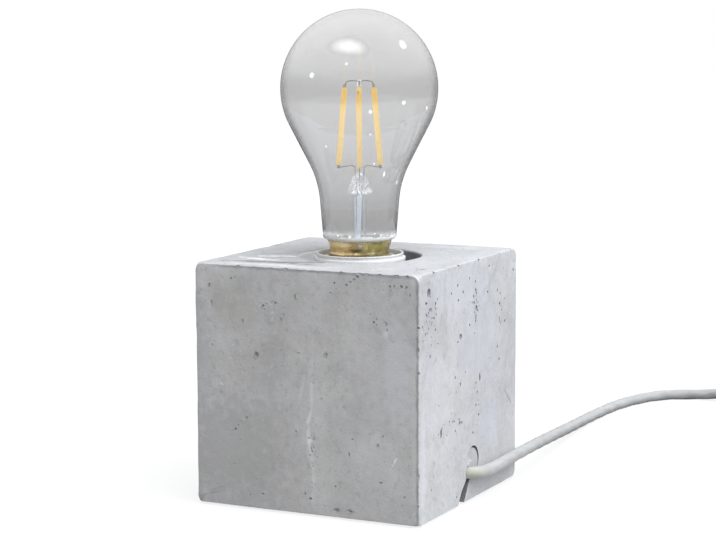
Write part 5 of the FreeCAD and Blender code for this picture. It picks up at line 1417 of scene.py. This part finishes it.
        # Painted light and shade by height: the wires are pale low down and dark higher up.
        upper = finish.span(finish.axis("Z"), 0.140, 0.165)
        spots = finish.span(finish.noise(700, 2), 0.4, 0.6, 0.0, 0.5)
        tone = finish.mix(upper, (0.86, 0.82, 0.74), (0.30, 0.29, 0.27))
        finish.colour(finish.mix(spots, tone, (0.40, 0.36, 0.30)))
        finish.set(Roughness=0.3, Metallic=0.25)
        ready(
            piece, "filament_leads", finish.material, "bulb",
            ["filament_wires"], smooth=50,
        )

    def sticks(self, colour):
        """Four coated sticks that lean in towards the top, each with a metal tab at both ends."""
        length = 32.8
        coat = self.coating(colour)
        steel = metal("tab_steel", (0.80, 0.76, 0.68), 0.3)
        line = raised(0, (0, 0.4), (0.75, 0.5), (1.05, 0.9), (1.15, 1.6))
        line += raised(length, (1.15, -1.6), (1.05, -0.9), (0.75, -0.5), (0, -0.4))
        bar = turned(line, 20)
        edit(bar)
        bpy.ops.transform.resize(value=(0.82, 1.0, 1.0), center_override=(0, 0, 0))
        settle()
        tabs = []
        for low, high in ((-0.9, 1.2), (length - 1.2, length + 1.0)):
            tab = slab(mm(-0.16, -0.62, low), mm(0.16, 0.62, high))
            apply_modifier(tab, "BEVEL", width=0.0001, segments=2)
            tabs.append(tab)
        pair = joined(*tabs)
        places = [(-68.0, (8.7, 0.6, 136.7), (6.0, 0.0, 167.6))]
        for k in range(3):
            places.append((INSIDE_TURN + 90 * k, (8.7, 0, 137.4), (6.0, 0, 170.2)))
        for k, (angle, foot, top) in enumerate(places):
            run = mm(*top) - mm(*foot)
            lean = Matrix.Translation(mm(*foot)) @ laid_along(run)
            lean = lean @ Matrix.Diagonal((1, 1, run.length / MM / length, 1))
            turn = Matrix.Rotation(math.radians(angle), 4, "Z") @ lean
            for model, name, finish, slot in (
                (bar, "filament_stick", coat, "filament_phosphor"),
                (pair, "stick_tabs", steel, "support_wire"),
            ):
                copy = copied(model)
                copy.data.transform(turn)
                name = f"{name}_{k + 1}"
                ready(copy, name, finish, "bulb", ["filament_sticks"], smooth=50)
        bpy.data.objects.remove(bar)
        bpy.data.objects.remove(pair)

    def coating(self, colour):
        """Yellow phosphor, deeper in tone towards the top, with a painted glow."""
        coat = Finish("filament_coat_painted_glow")
        deep = coat.span(coat.axis("Z"), 0.158, 0.166, smooth=True)
        grain = coat.noise(1100, 3)
        tone = coat.mix(deep, (1.0, 0.76, 0.36), shade(colour, 0.96))
        tone = coat.mix(coat.span(grain, 0.35, 0.7, 0.0, 0.3), tone, shade(colour, 0.82))
        coat.colour(tone)
        coat.roughness(0.55)
        coat.relief(grain, 0.0001, 0.5)
        # Painted glow: the sticks glow, standing in for light that does not reach them inside the
        # glass.
        coat.glow(tone, 0.67)
        return coat.material


# Cord, with its routes in millimetres
CORD_TO_SWITCH = [
    (48.19, -1.86, 12.5), (52.35, 0.12, 12.5), (54.9, 4.1, 12.5), (55.6, 9.6, 12.5),
    (55.4, 18.0, 12.5), (54.8, 33.0, 12.4), (52.4, 60.0, 11.2), (47.6, 100.0, 8.2),
    (41.6, 140.0, 4.2), (38.8, 180.0, 2.5), (41.0, 216.0, 2.5), (52.0, 245.0, 2.5),
    (72.0, 254.0, 2.5), (92.0, 251.5, 5.6), (112.16, 245.43, 7.5), (126.28, 241.91, 7.5),
]
SWITCH_TO_COIL = [
    (173.72, 230.09, 7.5), (187.84, 226.57, 7.5), (206.0, 217.0, 4.4), (217.5, 200.0, 2.5),
    (223.0, 174.0, 2.5), (225.8, 142.0, 2.5), (225.2, 111.0, 2.7), (224.1, 89.0, 3.5),
    (224.1, 65.0, 3.5),
]
COIL_TO_PLUG = [
    (147.9, 65.0, 9.0), (147.9, 77.0, 9.0), (148.5, 86.0, 5.2), (149.2, 97.0, 4.4),
    (149.0, 108.0, 6.9), (149.0, 120.0, 6.9),
]


def coil_points():
    """Two layers of flat turns, spiralling in below and out above."""
    middle, inner, step_out = (186.0, 60.0), 19.9, 5.6
    low, lift = 3.5, 5.5
    per_turn, turns = 24, 6.5
    points = []
    for step in range(round(turns * per_turn) + 1):
        done = step / per_turn
        angle = -math.tau * done
        radius = inner + step_out * abs(done - turns / 2)
        climb = min(1, max(0, (done - turns / 2) / 0.5 + 0.5))
        height = low + lift * (0.5 - 0.5 * math.cos(math.pi * climb))
        x, y = middle[0] + radius * math.cos(angle), middle[1] + radius * math.sin(angle)
        points.append((x, y, height))
    return points


def cord_curve(name, route, finish, stands_for):
    """One length of cord along its route, with its section turning as the cores twist."""
    sizes = bpy.context.scene.lamp_sizes
    data = bpy.data.curves.new(name, "CURVE")
    data.dimensions = "3D"
    line = data.splines.new("NURBS")
    line.points.add(len(route) - 1)
    run = 0.0
    for k, place in enumerate(route):
        place = mm(*place)
        if k:
            run += (place - mm(*route[k - 1])).length
        line.points[k].co = (*place, 1.0)
        line.points[k].tilt = math.tau * run / sizes.cord_lay
    line.order_u = 3
    line.use_endpoint_u = True
    line.resolution_u = 8
    data.extrude = sizes.cord_flat / 2
    data.bevel_depth = (sizes.cord_width - sizes.cord_flat) / 2
    data.bevel_resolution = 5
    data.use_fill_caps = True
    data.materials.append(finish)
    cord = bpy.data.objects.new(name, data)
    bpy.context.collection.objects.link(cord)
    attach(cord, "lamp")
    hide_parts(*stands_for)


class LAMP_OT_cord(bpy.types.Operator):
    """Light grey cord from the block to the switch, and from the switch by its coil to the plug"""

    bl_idname = "lamp.cord"
    bl_label = "Cord"

    def execute(self, context):
        colour = context.scene.lamp_colours.cord
        finish = Finish("cord_sheath")
        tone = finish.span(finish.noise(150, 4, 0.6), 0.3, 0.7)
        fine = finish.noise(900, 3)
        sheath = finish.mix(tone, shade(colour, 0.93), shade(colour, 1.05))
        # A yellowish olive tint on the cord where it leaves the block.
        tint_near_outlet = finish.blotch(CORD_OUTLET, (9, 6, 5), core=0.6, ragged=0.15)
        finish.colour(finish.paint(sheath, (0.47, 0.48, 0.40), tint_near_outlet, 0.8))
        finish.roughness(finish.span(fine, 0.3, 0.7, 0.36, 0.5))
        finish.relief(fine, 0.00005, 0.4)
        finish.set(
            Subsurface_Weight=0.8, Subsurface_Scale=0.006, Subsurface_Radius=(1.0, 1.0, 1.0)
        )
        cord_curve(
            "flex_to_switch",
            CORD_TO_SWITCH,
            finish.material,
            ["cord_lamp_to_switch"],
        )
        cord_curve(
            "flex_to_plug",
            [*SWITCH_TO_COIL, *coil_points(), *COIL_TO_PLUG],
            finish.material,
            ["cord_switch_to_coil", "cord_coil", "cord_coil_to_plug"],
        )
        return {"FINISHED"}


# Parts of the frame that keep their shape


def board_finish():
    """Green board with copper tracks."""
    finish = Finish("circuit_board")
    tracks = finish.add(
        "ShaderNodeTexBrick",
        {
            "Vector": finish.place,
            "Scale": 260.0,
            "Color1": (0.04, 0.16, 0.07, 1),
            "Color2": (0.03, 0.12, 0.06, 1),
            "Mortar": (0.35, 0.30, 0.12, 1),
        },
    )
    finish.colour(tracks.outputs["Color"])
    finish.roughness(finish.span(finish.noise(300, 3), 0.3, 0.7, 0.3, 0.5))
    return finish.material


def foam_finish():
    """Black foam with open cells."""
    finish = Finish("foam_pad")
    cells = finish.noise(1600, 3, 0.6)
    tone = finish.mix(finish.span(cells, 0.35, 0.65), (0.035,) * 3, (0.11,) * 3)
    finish.colour(tone)
    finish.roughness(finish.span(cells, 0.3, 0.7, 0.85, 1.0))
    finish.relief(cells, 0.0003, 0.8)
    return finish.material


def strap_finish():
    """Black woven strap."""
    finish = Finish("tie_strap")
    links = {"Vector": finish.place, "Scale": 500.0, "Distortion": 1.5}
    weave = finish.add("ShaderNodeTexWave", links).outputs["Fac"]
    finish.colour(finish.mix(weave, (0.02, 0.02, 0.022), (0.07, 0.07, 0.075)))
    finish.roughness(finish.span(weave, 0, 1, 0.6, 0.9))
    finish.relief(weave, 0.0002, 0.7)
    return finish.material


class LAMP_OT_fittings(bpy.types.Operator):
    """Finishes for the pieces that keep the frame's own shape"""

    bl_idname = "lamp.fittings"
    bl_label = "Fittings"

    def execute(self, context):
        colours = context.scene.lamp_colours
        brown, blue = (0.16, 0.06, 0.03), (0.05, 0.14, 0.42)
        shell = moulded("switch_white", colours.switch, 0.38, 600, 0.00004)
        zinc = metal("zinc_steel", (0.58, 0.58, 0.56), 0.3)
        brass = metal("contact_brass", (0.70, 0.52, 0.24), 0.25)
        nickel = metal("pin_nickel", (0.70, 0.68, 0.64), 0.18, stretch=(1, 0.1, 1))
        wire = metal("support_wire", (0.55, 0.53, 0.50), 0.3)
        white = moulded("holder_inner_white", shade(colours.holder, 0.97), 0.35, 500)
        insert = moulded("holder_insert", (0.70, 0.68, 0.62), 0.45, 500)
        finishes = {
            "base_pad": foam_finish(),
            "threaded_nipple": zinc,
            "shelf_washer": zinc,
            "lock_nut": zinc,
            "grip_screw": zinc,
            "terminal_screws": zinc,
            "switch_screws": zinc,
            "cord_grip": moulded("grip_nylon", (0.62, 0.62, 0.58), 0.5),
            "cord_inside": moulded("inner_sheath", shade(colours.cord, 0.95), 0.45),
            "live_core": moulded("core_brown", brown, 0.4),
            "switch_live_cores": moulded("core_brown_too", brown, 0.4),
            "neutral_core": moulded("core_blue", blue, 0.4),
            "switch_neutral_core": moulded("core_blue_too", blue, 0.4),
            "holder_cap": white,
            "screw_sleeve": white,
            "holder_insert": insert,
            "centre_contact": brass,
            "side_contact": brass,
            "contact_rivets": brass,
            "terminal_blocks": brass,
            "switch_bridge": brass,
            "switch_contacts": brass,
            "cap_insulator": moulded("black_glass", (0.015, 0.015, 0.018), 0.12),
            "bulb_tip_contact": metal("solder_tip", (0.55, 0.55, 0.56), 0.4),
            # Painted glow on the lead wires, standing in for light that does not reach them inside
            # the glass.
            "lead_wires": moulded(
                "lead_tin_painted_glow", (0.80, 0.84, 0.88), 0.3, 900, Emission_Strength=0.42
            ),
            "board_wires": wire,
            "driver_board": board_finish(),
            "coil_tie": strap_finish(),
            "switch_lower_case": shell,
            "switch_upper_case": shell,
            "switch_rocker": moulded("rocker_white", shade(colours.switch, 0.93), 0.28, 600),
            "plug_body": shell,
            "plug_strain_relief": shell,
            "plug_pins": nickel,
            "plug_pin_sleeves": moulded("sleeve_black", (0.02, 0.02, 0.02), 0.4),
        }
        for name, finish in finishes.items():
            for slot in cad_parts[name].material_slots:
                slot.material = finish
        return {"FINISHED"}


# Stage


def grower(tree):
    """Empties a node tree and gives a function that adds a node to it."""
    tree.nodes.clear()
    return functools.partial(add_node, tree)


def by_ray(grow, lit, shown, mirrored):
    """Joins shaders for light, for what is seen, also through glass, and for mirror images."""
    path = grow("ShaderNodeLightPath").outputs
    through = path["Is Transmission Ray"]
    seen = grow("ShaderNodeMath", {0: path["Is Camera Ray"], 1: through}, operation="MAXIMUM")
    straight = grow("ShaderNodeMath", {0: 1.0, 1: through}, operation="SUBTRACT")
    links = {0: path["Is Glossy Ray"], 1: straight.outputs[0]}
    bounced = grow("ShaderNodeMath", links, operation="MULTIPLY")
    joint = lit
    for share, other in ((seen, shown), (bounced, mirrored)):
        links = {0: share.outputs[0], 1: joint.outputs[0], 2: other.outputs[0]}
        joint = grow("ShaderNodeMixShader", links)
    return joint.outputs[0]


def card(name, towards, width, height, strength):
    """A bright panel, fading to its edge, that only shows as a reflection in glass and metal."""
    aim, distance = mm(5, -20, 172), 0.85
    way = Vector(towards).normalized()
    settle()
    bpy.ops.mesh.primitive_circle_add(vertices=32, radius=0.5, fill_type="NGON")
    panel = bpy.context.object
    panel.name = name
    place = Matrix.Translation(aim + way * distance) @ laid_along(way)
    panel.matrix_world = place @ Matrix.Diagonal((width, height, 1, 1))
    finish = Finish(name)
    fade = finish.span(finish.length(finish.place), 0.5, 0.0, 0.0, strength, smooth=True)
    finish.colour((0, 0, 0, 1))
    finish.set(Specular_IOR_Level=0)
    finish.glow((1, 1, 1, 1), fade)
    panel.data.materials.append(finish.material)
    panel.visible_camera = False
    panel.visible_diffuse = False
    panel.visible_transmission = False
    panel.visible_shadow = False


class LAMP_OT_stage(bpy.types.Operator):
    """Camera at the photograph's angle, pale floor, soft key light and room light"""

    bl_idname = "lamp.stage"
    bl_label = "Stage"

    def execute(self, context):
        self.camera(context.scene)
        self.floor()
        self.lamps(context.scene.stage_light)
        self.world(context.scene)
        context.scene.view_settings.view_transform = "Standard"
        return {"FINISHED"}

    def camera(self, scene):
        """The photograph's view, solved from the corners of the cube."""
        turn, tilt, roll = math.radians(26.297), math.radians(7.546), math.radians(-0.209)
        place = Matrix.Translation((0.3867, -0.7843, 0.2096))
        away = math.cos(tilt)
        back = Vector((math.sin(turn) * away, -math.cos(turn) * away, math.sin(tilt)))
        level = Vector((math.cos(turn), math.sin(turn), 0))
        upright = back.cross(level)
        right = level * math.cos(roll) + upright * math.sin(roll)
        up = upright * math.cos(roll) - level * math.sin(roll)
        data = bpy.data.cameras.new("camera")
        data.lens = 106.26
        data.sensor_width = 36
        data.clip_start = 0.01
        eye = bpy.data.objects.new("camera", data)
        eye.matrix_world = place @ Matrix((right, up, back)).transposed().to_4x4()
        bpy.context.collection.objects.link(eye)
        scene.camera = eye

    def floor(self):
        """White where it is seen, grey as it lights the lamp, and graded in mirror images."""
        settle()
        bpy.ops.mesh.primitive_circle_add(vertices=96, radius=2.2, fill_type="NGON")
        floor = bpy.context.object
        floor.name = "floor"
        finish = bpy.data.materials.new("floor_white")
        finish.use_nodes = True
        grow = grower(finish.node_tree)
        lit = grow("ShaderNodeBsdfDiffuse", {"Color": (0.30, 0.30, 0.30, 1)})
        shadowed = grow("ShaderNodeBsdfDiffuse", {"Color": (0.17, 0.17, 0.17, 1)})
        glow = grow("ShaderNodeEmission", {"Strength": 0.82})
        shown = grow("ShaderNodeAddShader", {0: shadowed.outputs[0], 1: glow.outputs[0]})
        place = grow("ShaderNodeTexCoord").outputs["Object"]
        far = grow("ShaderNodeVectorMath", {0: place}, operation="LENGTH").outputs["Value"]
        near = grow("ShaderNodeMapRange", {"Value": far, "From Min": 0.78, "From Max": 0.36})
        links = {0: place, 1: (-0.44, 0.90, 0)}
        behind = grow("ShaderNodeVectorMath", links, operation="DOT_PRODUCT").outputs["Value"]
        front = grow("ShaderNodeMapRange", {"Value": behind, "From Min": 0.10, "From Max": 0.0})
        links = {0: near.outputs[0], 1: front.outputs[0]}
        table = grow("ShaderNodeMath", links, operation="MULTIPLY").outputs[0]
        level = grow("ShaderNodeMapRange", {"Value": table, "To Min": 0.10, "To Max": 0.95})
        mirrored = grow("ShaderNodeEmission", {"Strength": level.outputs[0]})
        surface = by_ray(grow, lit, shown, mirrored)
        grow("ShaderNodeOutputMaterial", {"Surface": surface})
        floor.data.materials.append(finish)

    def lamps(self, light):
        """The wide soft key light, and cards that only show as reflections."""
        data = bpy.data.lights.new("key_light", "SUN")
        data.energy = light.key
        data.angle = math.radians(70)
        data.color = (0.94, 0.965, 1.0)
        key = bpy.data.objects.new("key_light", data)
        way = Vector(KEY_WAY)
        key.rotation_mode = "QUATERNION"
        key.rotation_quaternion = way.to_track_quat("Z", "Y")
        key.location = way
        key.visible_glossy = False
        key.visible_transmission = False
        bpy.context.collection.objects.link(key)
        card("overhead_card", (-0.021, -0.436, 0.90), 0.92, 0.50, 11.0)
        card("rear_card", (0.536, 0.499, 0.681), 0.30, 0.17, 20.0)
        card("side_card", (-0.73, -0.62, 0.27), 0.17, 0.13, 24.0)
        card("front_card", (0.07, -0.79, 0.61), 0.10, 0.08, 24.0)

    def world(self, scene):
        """White behind the lamp, a graded room in mirror images, and soft light from the right."""
        world = bpy.data.worlds.new("studio")
        scene.world = world
        world.use_nodes = True
        grow = grower(world.node_tree)
        way = grow("ShaderNodeTexCoord").outputs["Generated"]
        height = grow("ShaderNodeSeparateXYZ", {0: way}).outputs["Z"]
        links = {"Value": height, "From Min": 0.0, "From Max": 0.32, "To Min": 0.10, "To Max": 1.0}
        band = grow("ShaderNodeMapRange", links).outputs["Result"]
        links = {0: way, 1: KEY_WAY}
        facing = grow("ShaderNodeVectorMath", links, operation="DOT_PRODUCT").outputs["Value"]
        low = scene.stage_light.sky
        links = {"Value": facing, "To Min": low, "To Max": low + scene.stage_light.dome}
        rise = grow("ShaderNodeMapRange", links).outputs["Result"]
        white, cool = (1, 1, 1, 1), (0.93, 0.965, 1.03, 1)
        tint = grow("ShaderNodeMix", {0: facing, 6: white, 7: cool}, data_type="RGBA").outputs[2]
        sky = grow("ShaderNodeBackground", {"Color": tint, "Strength": rise})
        shown = grow("ShaderNodeBackground", {"Color": white, "Strength": 1.0})
        mirrored = grow("ShaderNodeBackground", {"Color": white, "Strength": band})
        grow("ShaderNodeOutputWorld", {"Surface": by_ray(grow, sky, shown, mirrored)})


# Panel and registration


class LAMP_PT_panel(bpy.types.Panel):
    bl_idname = "LAMP_PT_panel"
    bl_label = "Concrete Table Lamp"
    bl_space_type = "VIEW_3D"
    bl_region_type = "UI"
    bl_category = "Lamp"

    def draw(self, context):
        for group in ("lamp_sizes", "lamp_colours", "stage_light"):
            settings = getattr(context.scene, group)
            column = self.layout.column()
            for name in settings.__annotations__:
                column.prop(settings, name)
        for step in STEPS:
            self.layout.operator(step.bl_idname)


STEPS = (
    LAMP_OT_stage,
    LAMP_OT_cord,
    LAMP_OT_concrete,
    LAMP_OT_mortar,
    LAMP_OT_holder,
    LAMP_OT_glass,
    LAMP_OT_screw_cap,
    LAMP_OT_bulb_inside,
    LAMP_OT_fittings,
)
GROUPS = {"lamp_sizes": LampSizes, "lamp_colours": LampColours, "stage_light": StageLight}


def register():
    for group in GROUPS.values():
        bpy.utils.register_class(group)
    for name, group in GROUPS.items():
        setattr(bpy.types.Scene, name, PointerProperty(type=group))
    for step in (*STEPS, LAMP_PT_panel):
        bpy.utils.register_class(step)


def unregister():
    for step in (LAMP_PT_panel, *reversed(STEPS)):
        bpy.utils.unregister_class(step)
    for name in GROUPS:
        delattr(bpy.types.Scene, name)
    for group in reversed(GROUPS.values()):
        bpy.utils.unregister_class(group)


def main():
    register()
    bpy.ops.lamp.stage()
    bpy.ops.lamp.cord()
    bpy.ops.lamp.concrete()
    bpy.ops.lamp.mortar()
    bpy.ops.lamp.holder()
    bpy.ops.lamp.glass()
    bpy.ops.lamp.screw_cap()
    bpy.ops.lamp.bulb_inside()
    bpy.ops.lamp.fittings()


if __name__ == "__main__":
    main()
